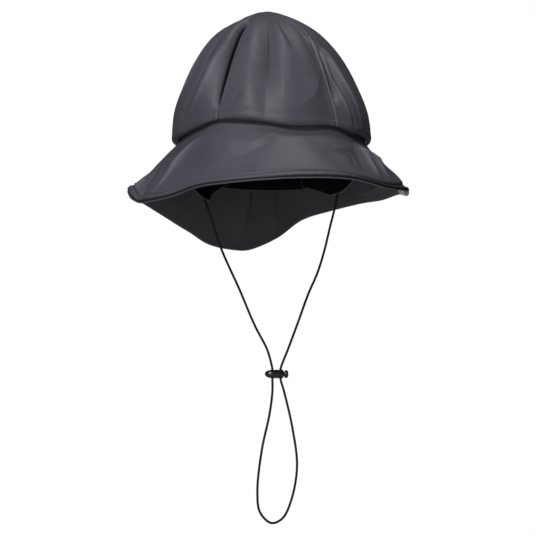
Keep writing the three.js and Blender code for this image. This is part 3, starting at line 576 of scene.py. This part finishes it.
def sheet_mesh(name, outer, inner, closed, uv, rim=0, strides=(1, 1), fold=None):
    """Object of two sheets of points joined along their edges, each with every so many of its points.

    The inner faces get material slot 1, and the edge with the given number of rows beside it slot 2.
    The fold gives each point of the outer sheet its painted shade deep in a pleat, up to 1, or its painted
    highlight on a ridge, down to -1.
    """
    points, maps, marks, faces, slots = [], [], [], [], []
    count = 0
    for number, (sheet, stride) in enumerate(zip((outer, inner), strides)):
        kept = sheet[::stride, ::stride]
        index = count + np.arange(kept.shape[0] * kept.shape[1]).reshape(kept.shape[:2])
        points.append(kept.reshape(-1, 3))
        marks.append(uv[::stride, ::stride].reshape(-1, 2))
        cells = grid_faces(kept.shape[0], kept.shape[1], closed)
        slot = np.full(len(cells), number)
        row = cells[:, 0] // kept.shape[1]
        column = cells[:, 0] % kept.shape[1]
        near = row >= kept.shape[0] - 1 - rim
        if not closed:
            near |= (column < rim) | (column >= kept.shape[1] - 1 - rim)
        if rim:
            slot[near] = 2
        faces.extend(((cells if number == 0 else cells[:, ::-1]) + count).tolist())
        slots.extend(slot.tolist())
        maps.append(np.concatenate([index, index[:, :1]], axis=1) if closed else index)
        count += len(points[-1])
    side = rim_faces(maps[0][0], maps[1][0])
    side.extend(face[::-1] for face in rim_faces(maps[0][-1], maps[1][-1]))
    if not closed:
        side.extend(face[::-1] for face in rim_faces(maps[0][:, 0], maps[1][:, 0]))
        side.extend(rim_faces(maps[0][:, -1], maps[1][:, -1]))
    faces.extend(side)
    slots.extend([2 if rim else 0] * len(side))
    mesh = smooth_mesh(name, np.concatenate(points), faces)
    mesh.polygons.foreach_set("material_index", np.array(slots, np.int32))
    layer = mesh.uv_layers.new(name="cloth")
    corners = np.zeros(len(mesh.loops), np.int32)
    mesh.loops.foreach_get("vertex_index", corners)
    layer.data.foreach_set("uv", np.concatenate(marks)[corners].ravel())
    # Painted shade in pleats and painted highlight on ridges, which the cloth's colour reads.
    if fold is not None:
        kept = fold[::strides[0], ::strides[0]].ravel()
        depth = np.concatenate([kept, np.zeros(count - len(kept))])
        mesh.attributes.new("fold", "FLOAT", "POINT").data.foreach_set("value", depth)
    mesh.update()
    return placed(name, mesh)


def plain_mesh(name, points, faces):
    """Smooth object from points in mm and faces."""
    mesh = smooth_mesh(name, points, faces)
    mesh.update()
    return placed(name, mesh)


# Materials.
def node_kit(name):
    """New node material, its tree and its shader."""
    material = bpy.data.materials.new(name)
    material.use_nodes = True
    tree = material.node_tree
    shader = tree.nodes["Principled BSDF"]
    return material, tree, shader


def fill(tree, node, values):
    """Sets a node's inputs, each to a plain value or linked to another node's output."""
    for key, value in values.items():
        if isinstance(value, bpy.types.NodeSocket):
            tree.links.new(value, node.inputs[key])
        else:
            node.inputs[key].default_value = value


def add_node(tree, kind, inputs=None, **settings):
    """New node with its settings and inputs filled in."""
    made = tree.nodes.new(kind)
    for key, value in settings.items():
        setattr(made, key, value)
    fill(tree, made, inputs or {})
    return made


def coordinates(tree, kind):
    """Places on the object itself or on its cloth map."""
    return add_node(tree, "ShaderNodeTexCoord").outputs[kind]


def noise_node(tree, source, scale, detail=3.0, roughness=0.5):
    """Noise over a coordinate, in waves per unit of it."""
    inputs = {"Vector": source, "Scale": scale, "Detail": detail, "Roughness": roughness}
    return add_node(tree, "ShaderNodeTexNoise", inputs).outputs["Fac"]


def ranged(tree, source, low, high, start=0.3, end=0.7):
    """Value mapped from start..end to low..high."""
    inputs = {"Value": source, "From Min": start, "From Max": end, "To Min": low, "To Max": high}
    return add_node(tree, "ShaderNodeMapRange", inputs).outputs["Result"]


def calculated(tree, operation, *values):
    """Result of a sum with plain values or other nodes' outputs."""
    return add_node(tree, "ShaderNodeMath", dict(enumerate(values)), operation=operation).outputs[0]


def mixed_colour(tree, factor, first, second, blend="MIX"):
    """Colour between two others, each plain or another node's output."""
    made = add_node(tree, "ShaderNodeMix", data_type="RGBA", blend_type=blend)
    first, second = [value if isinstance(value, bpy.types.NodeSocket) else (*value, 1)
                     for value in (first, second)]
    fill(tree, made, {0: factor, 6: first, 7: second})
    return made.outputs[2]


def bumped(tree, shader, height, distance, strength=1.0, before=None):
    """Bump of a real height in metres, on top of an earlier bump."""
    made = add_node(tree, "ShaderNodeBump", {"Strength": strength, "Distance": distance, "Height": height})
    if before is not None:
        fill(tree, made, {"Normal": before})
    fill(tree, shader, {"Normal": made.outputs["Normal"]})
    return made.outputs["Normal"]


def coated_cloth(name, dark, light, roughness, grain):
    """Smooth coated rain cloth with a faint grain, with painted shade deep in a pleat and a painted
    highlight on a ridge.
    """
    material, tree, shader = node_kit(name)
    place = coordinates(tree, "Object")
    cloud = noise_node(tree, place, 22.0, 4.0)
    speckle = ranged(tree, noise_node(tree, place, 1400.0, 2.0), 0.7, 1.25)
    colour = mixed_colour(tree, ranged(tree, cloud, 0.0, 1.0), dark, light)
    colour = mixed_colour(tree, 0.35, colour, speckle, "MULTIPLY")
    fold = add_node(tree, "ShaderNodeAttribute", attribute_name="fold").outputs["Fac"]
    # Painted highlight: a paler colour on ridges, by the fold attribute.
    ridge = ranged(tree, fold, 1.0, 0.0, -1.0, 0.0)
    colour = mixed_colour(tree, ridge, colour, [1.6 * value for value in light])
    # Painted shade: near black deep in a pleat, by the fold attribute.
    colour = mixed_colour(tree, fold, colour, (0.001, 0.001, 0.0012))
    fill(tree, shader, {
        "Base Color": colour,
        "Roughness": ranged(tree, cloud, roughness - 0.05, roughness + 0.05),
        "Specular IOR Level": 0.14,
        "Sheen Weight": 0.005,
        "Sheen Roughness": 0.45,
    })
    leather = add_node(tree, "ShaderNodeTexVoronoi", {"Vector": place, "Scale": 900.0})
    fine = bumped(tree, shader, leather.outputs["Distance"], 0.00003 * grain, 0.5)
    fine = bumped(tree, shader, noise_node(tree, place, 260.0), 0.00012 * grain, 0.6, fine)
    bumped(tree, shader, noise_node(tree, place, 70.0, 2.0), 0.0003 * grain, 0.5, fine)
    return material


def woven_cloth(name, dark, light, roughness, pitch):
    """Woven or knitted cloth, its threads following the cloth's own map in millimetres."""
    material, tree, shader = node_kit(name)
    place = coordinates(tree, "Object")
    cloth_map = coordinates(tree, "UV")
    threads = []
    for direction, detail_scale in (("X", 2.0), ("Y", 1.0)):
        inputs = {"Vector": cloth_map, "Scale": math.tau / pitch / 20.0, "Distortion": 0.6,
                  "Detail Scale": detail_scale}
        wave = add_node(tree, "ShaderNodeTexWave", inputs, bands_direction=direction)
        threads.append(wave.outputs["Fac"])
    weave = calculated(tree, "MULTIPLY", *threads)
    cloud = ranged(tree, noise_node(tree, place, 45.0), 0.0, 0.5)
    tone = calculated(tree, "MULTIPLY_ADD", weave, 0.5, cloud)
    fill(tree, shader, {
        "Base Color": mixed_colour(tree, tone, dark, light),
        "Roughness": roughness,
        "Specular IOR Level": 0.08,
    })
    first = bumped(tree, shader, weave, 0.0001, 0.8)
    bumped(tree, shader, noise_node(tree, place, 900.0, 2.0), 0.00008, 0.5, first)
    return material


def braided_cord(name):
    """Round braided cord: two sets of strands that cross, on the cord's own map."""
    material, tree, shader = node_kit(name)
    sets = []
    for lean in (38, -38):
        inputs = {"Vector": coordinates(tree, "UV"), "Rotation": (0, 0, math.radians(lean))}
        turned = add_node(tree, "ShaderNodeMapping", inputs).outputs["Vector"]
        inputs = {"Vector": turned, "Scale": math.tau / 0.9 / 20.0}
        sets.append(add_node(tree, "ShaderNodeTexWave", inputs).outputs["Fac"])
    braid = calculated(tree, "MAXIMUM", *sets)
    fill(tree, shader, {
        "Base Color": mixed_colour(tree, braid, (0.002, 0.002, 0.0025), (0.008, 0.008, 0.009)),
        "Roughness": 0.6,
        "Specular IOR Level": 0.12,
    })
    first = bumped(tree, shader, braid, 0.00012, 0.9)
    lint = noise_node(tree, coordinates(tree, "Object"), 2500.0, 2.0)
    bumped(tree, shader, lint, 0.00004, 0.5, first)
    return material


def moulded_plastic(name, roughness):
    """Black moulded plastic with a faint spark-eroded grain and a tone and gloss that differ at random."""
    material, tree, shader = node_kit(name)
    place = coordinates(tree, "Object")
    cloud = noise_node(tree, place, 300.0, 4.0)
    tone = ranged(tree, cloud, 0, 1)
    fill(tree, shader, {
        "Base Color": mixed_colour(tree, tone, (0.003, 0.003, 0.003), (0.006, 0.006, 0.006)),
        "Roughness": ranged(tree, cloud, roughness - 0.06, roughness + 0.08),
        "Specular IOR Level": 0.4,
    })
    bumped(tree, shader, noise_node(tree, place, 3000.0, 2.0), 0.00002, 0.5)
    return material


OUTER = coated_cloth("outer_cloth", (0.0365, 0.0357, 0.0450), (0.0450, 0.0442, 0.0550), 0.50, 1.0)
# Painted shade: the facing is the outer coated cloth at about half its colour, darker for the shade on the
# brim's underside.
SHADED_FACING = coated_cloth("facing_cloth", (0.0180, 0.0182, 0.0220), (0.0250, 0.0254, 0.0300), 0.50, 0.8)
BACKING = woven_cloth("backing_cloth", (0.022, 0.022, 0.025), (0.045, 0.045, 0.050), 0.85, 0.8)
BAND = woven_cloth("band_cloth", (0.0015, 0.0015, 0.0018), (0.004, 0.004, 0.0045), 0.85, 0.7)
EDGE = woven_cloth("band_edge", (0.030, 0.030, 0.033), (0.075, 0.075, 0.080), 0.8, 0.5)
CORD = braided_cord("cord_braid")
THREAD = woven_cloth("thread", (0.020, 0.020, 0.023), (0.060, 0.060, 0.068), 0.6, 0.4)
LOCK = moulded_plastic("lock_plastic", 0.22)


def dress(thing, body, slot, nodes, *materials):
    """Materials, body and the CAD nodes that a piece stands for; the slot is not used."""
    for material in materials:
        thing.data.materials.append(material)
    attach(thing, body)
    if nodes:
        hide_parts(*nodes)
    return thing


# Camera at the photograph's angle: a little left of the front and a little below the brim.
def photo_camera():
    """Camera at such a distance that one picture element is one millimetre at the hat's axis."""
    azimuth = math.radians(CAMERA_AZIMUTH)
    elevation = math.radians(CAMERA_ELEVATION)
    flat = math.cos(elevation)
    back = Vector((math.sin(azimuth) * flat, -math.cos(azimuth) * flat, math.sin(elevation)))
    right = Vector((math.cos(azimuth), math.sin(azimuth), 0))
    data = bpy.data.cameras.new("camera")
    data.sensor_width = SENSOR_WIDTH
    data.lens = SENSOR_WIDTH * CAMERA_DISTANCE / PICTURE_WIDTH
    data.clip_end = 50
    thing = placed("camera", data)
    thing.location = Vector(CAMERA_AIM) + right * CAMERA_SHIFT + back * CAMERA_DISTANCE
    thing.rotation_euler = back.to_track_quat("Z", "Y").to_euler()
    bpy.context.scene.camera = thing


photo_camera()


# Chin cord.
def band_points(angle, z, inset):
    """Points on the band's outer face, or deeper inside it."""
    hang = np.maximum(0, -z) / BAND_DROP
    return seam_ring(SEAM_SLACK + CLOTH + GAP + BAND_TAPER * hang + inset, angle, z)


def tab_tip(tab):
    """Middle of an ear tab's tip in mm."""
    tip = outward(np.array(float(tab["tip"]))) * SEAM_HALF_WIDTH * tab["reach"]
    tip[2] = -FLAP_DROP * tab["drop"]
    return tip


def tab_place(tab, side, down, off=0.0):
    """Middle of a tab's cloth at places across it (-1 to 1) and down it, their angles and its thickness."""
    tip = tab_tip(tab)
    out = outward(np.array(float(tab["tip"])))
    end = np.where(side < 0, tab["front"], tab["rear"])
    angle = tab["tip"] + (end - tab["tip"]) * np.abs(side)
    slant = (1 - np.abs(side)) / TAB_SHOULDER
    cap = np.clip(0.5 + 5 * (1 - slant), 0, 1)
    middle = np.clip(slant * cap + (1 - cap) - 0.1 * cap * (1 - cap), 0, 1)
    bottom = (-BAND_DROP + 3) * (1 - middle) + tip[2] * middle
    z = TAB_TOP + (bottom - TAB_TOP) * down
    face = band_points(angle, np.maximum(z, -BAND_DROP), BAND_CLOTH + GAP + off)
    thick = TAB_CLOTH + (2 * TAB_TIP_HALF - TAB_CLOTH) * middle ** 4 * down ** 3
    start = face @ out - thick / 2
    pulled = start + (np.minimum(start, tip @ out) - start) * middle ** 1.6 * down ** 2
    centre = face.copy()
    centre[..., 2] = z
    centre = centre - outward(angle) * (thick / 2)[..., None] + out * (pulled - start)[..., None]
    return centre, angle, thick


def cord_end(tab):
    """Where the cord ends inside a tab's tip."""
    tip = tab_tip(tab)
    down = 1 - TAB_SOCKET / (TAB_TOP - tip[2])
    above, _, _ = tab_place(tab, np.array(0.0), np.array(down))
    return tip + unit(above - tip) * (TAB_SOCKET - GAP)


def smooth_route(points, step):
    """Centripetal curve through the points, sampled at even steps."""
    points = np.asarray(points, float)
    ends = np.vstack([2 * points[0] - points[1], points, 2 * points[-1] - points[-2]])
    line = []
    for k in range(len(points) - 1):
        a, b, c, d = ends[k:k + 4]
        t0 = math.sqrt(np.linalg.norm(b - a))
        t1 = math.sqrt(np.linalg.norm(c - b))
        t2 = math.sqrt(np.linalg.norm(d - c))
        start = ((b - a) / t0 - (c - a) / (t0 + t1) + (c - b) / t1) * t1
        end = ((c - b) / t1 - (d - b) / (t1 + t2) + (d - c) / t2) * t1
        u = np.linspace(0, 1, 60, endpoint=False)[:, None]
        line.append(hermite(u, b, c, start, end))
    line = np.vstack([*line, points[-1:]])
    gone = run_along(line)
    even = np.linspace(0, gone[-1], int(gone[-1] / step) + 1)
    return np.stack([np.interp(even, gone, line[:, k]) for k in range(3)], axis=1), gone[-1]


def tube_mesh(name, line, radius, sides):
    """Round tube along a line of points in mm, with a map in mm, and its ends closed."""
    ways = unit(np.gradient(line, axis=0))
    side = np.cross(ways[0], (0, 1, 0))
    turn = np.linspace(0, math.tau, sides, endpoint=False)[:, None]
    rings = []
    for place, way in zip(line, ways):
        side = unit(side - way * side.dot(way))
        rings.append(place + radius * (np.cos(turn) * side + np.sin(turn) * np.cross(way, side)))
    thing = plain_mesh(name, np.vstack(rings), tube_faces(len(line), sides))
    layer = thing.data.uv_layers.new(name="cloth")
    gone = run_along(line)
    values = []
    for polygon in thing.data.polygons:
        turns = [corner % sides for corner in polygon.vertices]
        seam = min(polygon.vertices) % sides == 0 and max(turns) == sides - 1
        for corner, turned in zip(polygon.vertices, turns):
            if turned == 0 and seam:
                turned = sides
            values.extend((gone[corner // sides], turned / sides * math.tau * radius))
    layer.data.foreach_set("uv", values)
    return thing


def chin_cord():
    """The cord, its exit and its whole length."""
    start = tab_tip(EAR_TABS[0]) * MM
    end = tab_tip(EAR_TABS[1]) * MM
    place = Vector(LOCK_PLACE) * MM

    def strand(hole):
        return [place + Vector((hole, 0, share * LOCK_HALF_HEIGHT)) * MM for share in (1.1, 0, -1.1)]

    route = [cord_end(EAR_TABS[0]) * MM, start, *CORD_ROUTE_LEFT, *strand(HOLE_LEFT), *CORD_LOOP]
    route += [*strand(HOLE_RIGHT)[::-1], *CORD_ROUTE_RIGHT, end, cord_end(EAR_TABS[1]) * MM]
    line, length = smooth_route(np.array([tuple(point) for point in route]), 0.0009)
    cord = tube_mesh("chin_cord_braid", line / MM, CORD_RADIUS, 14)
    return cord, line, start, length


cord, cord_line, cord_exit, cord_length = chin_cord()
dress(cord, "hat", "cord", ["chin_cord"], CORD)


# Crown.
def gore_mesh(name, first, second):
    """One panel of the crown between two seams."""
    wrap = 360 if second["foot"] < first["foot"] else 0
    columns = int((second["foot"] + wrap - first["foot"]) * 1.25) * 2 + 1
    share = np.linspace(0, 1, columns)
    share = share - 0.82 * np.sin(math.tau * share) / math.tau
    along = np.linspace(0, 1, GORE_ROWS) ** 1.3
    along[-1] = 0.9995
    along = along[:, None] * np.ones((1, columns))
    start = seam_angle(first, along)
    end = seam_angle(second, along) + wrap
    reach = np.maximum(crown_reach(along) * CROWN_HALF_WIDTH, 0.05)
    half = np.degrees(np.arcsin(np.minimum(1, 0.06 / reach)))
    half = np.minimum(half, (end - start) / 2)
    angle = start + half + (end - start - 2 * half) * share
    fine, fold = crown_detail(angle, along)
    outer = crown_points(angle, along, 0.0, fine)
    inner = crown_points(angle, along, CLOTH, fine * 0.8)
    uv = np.stack([np.radians(angle) * reach, along * CROWN_RUN], axis=-1)
    thing = sheet_mesh(f"{name}_cloth", outer, inner, False, uv, 0, (1, 2), fold)
    return dress(thing, "hat", "outer_cloth", [name], OUTER, BACKING)


for gore, seams in zip(GORES, zip(CROWN_SEAMS, CROWN_SEAMS[1:] + CROWN_SEAMS[:1])):
    gore_mesh(f"crown_gore_{gore}", *seams)


# Brim.
BRIM_ANGLES = np.linspace(0, 360, BRIM_COLUMNS, endpoint=False)


def brim_map(rows, length):
    """Cloth map of the brim in mm, as wide as the brim's middle is round."""
    across, down = np.meshgrid(np.radians(BRIM_ANGLES) * 115, np.linspace(0, 1, rows) * length)
    return np.stack([across, down], axis=-1)


def brim_outer_mesh():
    """Outer layer with its rolled hem and the seam allowance inside the crown."""
    length = brim_length(BRIM_ANGLES)
    body = np.linspace(0, 1, 52)[:, None] ** 0.9 * (1 - (FACING_PEEK + 14) / length)
    back = np.concatenate([np.linspace(13.5, 2.0, 27), [1.4, 0.9, 0.5, 0.22, 0.06, 0.0]])[:, None]
    hem = 1 - (FACING_PEEK + back) / length
    along = np.vstack([body, hem])
    angle = BRIM_ANGLES[None, :] * np.ones((len(along), 1))
    far = (1 - along) * length - FACING_PEEK
    fine = brim_detail(angle, along)
    lift = hem_lift(far, angle) * (far < 13.5)
    edge = rounded(far, 1.3)
    outer = brim_points(angle, along, -0.55 + (lift + 0.55) * edge, fine)
    inner = brim_points(angle, along, -0.65 - (CLOTH - 0.65) * edge, fine)
    ring = BRIM_ANGLES[None, :] * np.ones((3, 1))
    rising = seam_height(ring)
    heights = rising + (COLLAR_HEIGHT - rising) * np.array([1.0, 0.5, 0.05])[:, None]
    outer = np.concatenate([seam_ring(SEAM_SLACK, ring, heights), outer])
    inner = np.concatenate([seam_ring(SEAM_SLACK + CLOTH, ring, heights), inner])
    # Painted shade along the lower edge of the rolled hem, wider between about 15 and 95 degrees, and the
    # creases' painted shade and painted highlight above the hem; where a painted highlight lies, it wins
    # over the edge's shade.
    fold = np.zeros(outer.shape[:2])
    flare = smoothstep(angle, 15, 35) * (1 - smoothstep(angle, 80, 95))
    painted_crease_light = crease_painted_light(creases_on_brim(BRIM_CREASES, angle, along)) * (far > HEM)
    fold[len(ring):] = np.maximum(painted_crease_light, 0.85 * bell(far, 1.0 + 1.3 * flare) - (painted_crease_light < 0))
    thing = sheet_mesh("brim_outer_cloth", outer, inner, True, brim_map(len(outer), 95), 0, (1, 3), fold)
    return dress(thing, "hat", "outer_cloth", ["brim_outer"], OUTER, OUTER)


def brim_facing_mesh():
    """Under layer, its turned edge showing below the rolled hem."""
    length = brim_length(BRIM_ANGLES)
    body = np.linspace(0.10, 1, 42)[:, None] * (1 - 13 / length)
    back = np.concatenate([np.linspace(12.5, 1.6, 23), [1.1, 0.7, 0.35, 0.12, 0.0]])[:, None]
    along = np.vstack([body, 1 - back / length])
    angle = BRIM_ANGLES[None, :] * np.ones((len(along), 1))
    far = (1 - along) * length
    fine = brim_detail(angle, along)
    folds = np.maximum(creases_on_brim(FACING_FOLDS, angle, along), 0)
    groove = 0.25 * bell(far - FACING_PEEK - HEM, 0.7)
    edge = rounded(far, 0.8)
    upper = CLOTH + GAP
    middle = upper + FACING_CLOTH / 2
    outer = brim_points(angle, along, -middle + (middle - upper) * edge, fine)
    inner = brim_points(angle, along, -middle - (FACING_CLOTH / 2 + folds) * edge + groove, fine)
    thing = sheet_mesh("brim_facing_cloth", outer, inner, True, brim_map(len(outer), 90), 6, (3, 1))
    # Painted shade: the facing's faces take the darker copy of the outer cloth, and its turned edge the
    # outer cloth itself.
    return dress(thing, "hat", "facing_cloth", ["brim_facing"], SHADED_FACING, SHADED_FACING, OUTER)


brim_outer_mesh()
brim_facing_mesh()


def stitches(name, line, normals, radius):
    """Row of sewn stitches along a closed line in mm, each a low arch of thread."""
    closed = np.vstack([line, line[:1]])
    ups = np.vstack([normals, normals[:1]])
    gone = run_along(closed)
    count = int(gone[-1] / (STITCH + STITCH_GAP))
    pitch = gone[-1] / count
    rings, sides = 7, 6
    arch = np.sin(np.linspace(0, np.pi, rings)) ** 0.5
    size = (radius * (0.45 + 0.55 * arch))[:, None, None]
    turn = np.linspace(0, math.tau, sides, endpoint=False)[None, :, None]
    points, faces = [], []
    for k in range(count):
        at = k * pitch + np.linspace(0, pitch - STITCH_GAP, rings)
        place, up = [np.stack([np.interp(at, gone, column) for column in table.T], axis=1)
                     for table in (closed, ups)]
        place = place + up * (radius * (arch[:, None] * 1.6 - 1.0))
        side = np.cross(up, unit(place[-1] - place[0]))
        ring = place[:, None, :] + size * (np.cos(turn) * side[:, None, :] + np.sin(turn) * up[:, None, :])
        base = len(points)
        points.extend(ring.reshape(-1, 3))
        faces.extend([base + corner for corner in face] for face in tube_faces(rings, sides))
    thing = plain_mesh(name, points, faces)
    return dress(thing, "hat", "outer_cloth", [], THREAD)


def hem_stitches():
    """Topstitching of the hem on the upper side and its under thread on the facing."""
    angle = BRIM_ANGLES
    along = 1 - (FACING_PEEK + HEM) / brim_length(angle)
    fine = brim_detail(angle, along)
    top = brim_points(angle, along, -0.22 * np.ones_like(angle), fine)
    low = brim_points(angle, along, (-CLOTH - GAP - FACING_CLOTH + 0.25) * np.ones_like(angle), fine)
    normal = unit(top - low)
    stitches("brim_topstitch", top, normal, THREAD_RADIUS)
    stitches("brim_understitch", low, -normal, THREAD_RADIUS - 0.02)


hem_stitches()


# Inner band and ear tabs.
def inner_band_mesh():
    """Head band with a turned lower edge and a soft wave."""
    angles = np.linspace(0, 360, BAND_COLUMNS, endpoint=False)
    edge_rows = -BAND_DROP + np.array([0.8, 0.4, 0.15, 0.0])
    z = np.concatenate([np.linspace(BAND_TOP, -BAND_DROP + 1.2, 42), edge_rows])
    angle, level = np.meshgrid(angles, z)
    edge = rounded(level + BAND_DROP, 1.0)
    wave = 0.35 * rough(ellipse_points(90, 90, angle, level), 14.0, 4.0) * smoothstep(-level, 2, 20)
    hem = 0.5 * smoothstep(-level, BAND_DROP - 9.5, BAND_DROP - 8.8)
    stitch = 0.35 * bell(level + BAND_DROP - 8.0, 0.5)
    outer = band_points(angle, level, BAND_CLOTH / 2 * (1 - edge) + np.maximum(wave, 0))
    thick = BAND_CLOTH / 2 + BAND_CLOTH / 2 * edge + np.maximum(wave, 0) + hem - stitch
    inner = band_points(angle, level, thick)
    uv = np.stack([np.radians(angle) * 90, level], axis=-1)
    thing = sheet_mesh("inner_band_cloth", outer, inner, True, uv, 2, (3, 1))
    return dress(thing, "hat", "band_cloth", ["inner_band"], BAND, BAND, EDGE)


inner_band_mesh()


def ear_tab_mesh(tab):
    """Triangular tab with a blunt tip, thicker where the cord's end sits in it."""
    down, side = np.meshgrid(np.linspace(0, 1, 44), np.linspace(-1, 1, 121), indexing="ij")
    centre, angle, thick = tab_place(tab, side, down, 0.45)
    rim = np.minimum(1 - down, np.minimum((1 - np.abs(side)) * 2.2, down + 0.2))
    thin = rounded(rim, 0.05)
    stitch = 0.3 * bell(1 - down - 0.12, 0.018)
    half = (thick / 2 * (0.25 + 0.75 * thin) - stitch * 0.5)[..., None]
    soft = 0.25 * rough(centre, 9.0, 6.0)[..., None]
    outer = centre + outward(angle) * half
    inner = centre - outward(angle) * (half + np.maximum(soft, 0))
    uv = np.stack([np.radians(angle) * 86, centre[..., 2]], axis=-1)
    thing = sheet_mesh(f"{tab['name']}_cloth", outer, inner, False, uv, 1)
    return dress(thing, "hat", "band_cloth", [tab["name"]], BAND, BAND, EDGE)


for ear_tab in EAR_TABS:
    ear_tab_mesh(ear_tab)


# Cord lock.
def oval_loft(name, sections):
    """Closed body of oval sections along X; a section is (x, size, fullness)."""
    turn = np.linspace(0, math.tau, LOCK_SIDES, endpoint=False)
    c, s = np.cos(turn), np.sin(turn)
    points = []
    for x, size, full in sections:
        y = LOCK_HALF_DEPTH * size * np.sign(c) * np.abs(c) ** full
        z = LOCK_HALF_HEIGHT * size * np.sign(s) * np.abs(s) ** full
        points.append(np.stack([np.full(LOCK_SIDES, float(x)), y, z], axis=1))
    faces = [face[::-1] for face in tube_faces(len(sections), LOCK_SIDES)]
    return plain_mesh(name, np.vstack(points) + LOCK_PLACE, faces)


def bar_cutter(radius, axis, start, end, across=0.0):
    """Round bar in the lock's frame, for cutting."""
    turn = np.linspace(0, math.tau, BAR_SIDES, endpoint=False)
    rings = []
    for place in (start, end):
        flat = np.full(BAR_SIDES, float(place))
        if axis == "x":
            rings.append(np.stack([flat, radius * np.cos(turn), radius * np.sin(turn)], axis=1))
        else:
            rings.append(np.stack([across + radius * np.cos(turn), -radius * np.sin(turn), flat], axis=1))
    faces = [face[::-1] for face in tube_faces(2, BAR_SIDES)]
    return plain_mesh("cutter", np.vstack(rings) + LOCK_PLACE, faces)


def box_cutter(low, high):
    """Box in the lock's frame, for cutting."""
    corners = [(x, y, z) for x in (low[0], high[0]) for y in (low[1], high[1]) for z in (low[2], high[2])]
    faces = [(0, 1, 3, 2), (4, 6, 7, 5), (0, 4, 5, 1), (2, 3, 7, 6), (0, 2, 6, 4), (1, 5, 7, 3)]
    return plain_mesh("cutter", np.array(corners) + LOCK_PLACE, faces)


def carved(thing, cutters, joined=()):
    """The thing with other solids joined to it and cut from it, and its new edges softened."""
    added = [(part, "UNION") for part in joined]
    removed = [(part, "DIFFERENCE") for part in cutters]
    for other, operation in added + removed:
        step = thing.modifiers.new("carve", "BOOLEAN")
        step.operation = operation
        step.solver = "EXACT"
        step.object = other
    soft = thing.modifiers.new("soften", "BEVEL")
    soft.width = MOULD_ROUND * MM
    soft.segments = 3
    soft.limit_method = "ANGLE"
    soft.angle_limit = math.radians(38)
    bpy.context.view_layer.update()
    ready = thing.evaluated_get(bpy.context.evaluated_depsgraph_get())
    mesh = bpy.data.meshes.new_from_object(ready)
    thing.modifiers.clear()
    thing.data = mesh
    mesh.polygons.foreach_set("use_smooth", np.ones(len(mesh.polygons), bool))
    for other in [*cutters, *joined]:
        bpy.data.objects.remove(other)
    return thing


def lock_body_mesh():
    """Barrel with a blunt tapered nose, two cord holes and the button's bore."""
    nose = -LOCK_LEFT
    sections = [(nose, 0.20, 1), (nose + 0.15, 0.33, 1), (nose + 0.6, 0.48, 1), (nose + 1.4, 0.64, 1),
                (nose + 2.6, 0.79, 1), (nose + 4.2, 0.90, 0.98), (nose + 6.0, 0.97, 0.95),
                (nose + 8.0, 1.0, 0.93), (nose + 10.5, 0.985, 0.92), (nose + 13.0, 0.99, 0.92),
                (LOCK_RIGHT - 2.2, 1.0, 0.92), (LOCK_RIGHT - 0.9, 0.985, 0.93),
                (LOCK_RIGHT - 0.25, 0.94, 0.95), (LOCK_RIGHT, 0.88, 0.96)]
    body = oval_loft("cord_lock_barrel", sections)
    cutters = [bar_cutter(BORE_RADIUS, "x", LOCK_RIGHT - BORE_DEPTH, LOCK_RIGHT + 2)]
    for hole in (HOLE_LEFT, HOLE_RIGHT):
        cutters.append(bar_cutter(CORD_RADIUS + GAP, "z", -9, 9, hole))
    return dress(carved(body, cutters), "hat", "lock_plastic", ["cord_lock_body"], LOCK)


def lock_button_mesh():
    """Domed cap on a slotted stem."""
    start = LOCK_RIGHT + GAP + BUTTON_TRAVEL
    sections = [(start, 0.80, 0.96), (start + 0.2, 0.88, 0.95), (start + 0.9, 0.93, 0.94),
                (start + 1.8, 0.93, 0.94), (start + 2.5, 0.88, 0.95), (start + 3.0, 0.79, 0.96),
                (start + 3.35, 0.65, 0.97), (start + 3.55, 0.44, 1), (start + CAP_LENGTH, 0.2, 1)]
    cap = oval_loft("cord_lock_cap", sections)
    stem = bar_cutter(BORE_RADIUS - GAP, "x", LOCK_RIGHT - BORE_DEPTH + BUTTON_TRAVEL + GAP, start + 1)
    wide = CORD_RADIUS + GAP
    cutters = []
    for hole in (HOLE_LEFT, HOLE_RIGHT):
        cutters.append(box_cutter((hole - wide, -wide, -6), (hole + wide + BUTTON_TRAVEL, wide, 6)))
    return dress(carved(cap, cutters, [stem]), "button", "lock_plastic", ["cord_lock_button"], LOCK)


lock_body = lock_body_mesh()
lock_button = lock_button_mesh()


# Floor, light and world.
def floor():
    """Plain pale floor below the cord's loop."""
    mesh = bpy.data.meshes.new("floor")
    mesh.from_pydata([(-6, -6, -0.5), (6, -6, -0.5), (6, 6, -0.5), (-6, 6, -0.5)], [], [(0, 1, 2, 3)])
    thing = placed("floor", mesh)
    material, tree, shader = node_kit("floor_paint")
    tone = ranged(tree, noise_node(tree, coordinates(tree, "Object"), 3.0), 0, 1)
    colour = mixed_colour(tree, tone, (0.52, 0.52, 0.52), (0.55, 0.55, 0.55))
    fill(tree, shader, {"Base Color": colour, "Roughness": 0.9})
    mesh.materials.append(material)


def soft_light(name, place, width, height, power):
    """Panel of light aimed at the middle of the hat."""
    data = bpy.data.lights.new(name, "AREA")
    data.shape = "RECTANGLE"
    data.size = width
    data.size_y = height
    data.energy = power
    thing = placed(name, data)
    thing.location = place
    thing.rotation_euler = Vector(place).to_track_quat("Z", "Y").to_euler()


def studio():
    """Dim room with a white backdrop and soft panels of light around the hat."""
    world = bpy.data.worlds.new("studio")
    world.use_nodes = True
    tree = world.node_tree
    room = tree.nodes["Background"]
    backdrop = tree.nodes.new("ShaderNodeBackground")
    for background, strength in ((room, ROOM_LIGHT), (backdrop, 1.0)):
        fill(tree, background, {"Color": (1, 1, 1, 1), "Strength": strength})
    seen = tree.nodes.new("ShaderNodeLightPath").outputs["Is Camera Ray"]
    choice = add_node(tree, "ShaderNodeMixShader", {0: seen, 1: room.outputs[0], 2: backdrop.outputs[0]})
    fill(tree, tree.nodes["World Output"], {"Surface": choice.outputs[0]})
    bpy.context.scene.world = world
    for panel in LIGHTS:
        soft_light(*panel)
    bpy.context.scene.view_settings.view_transform = "Standard"


floor()
studio()
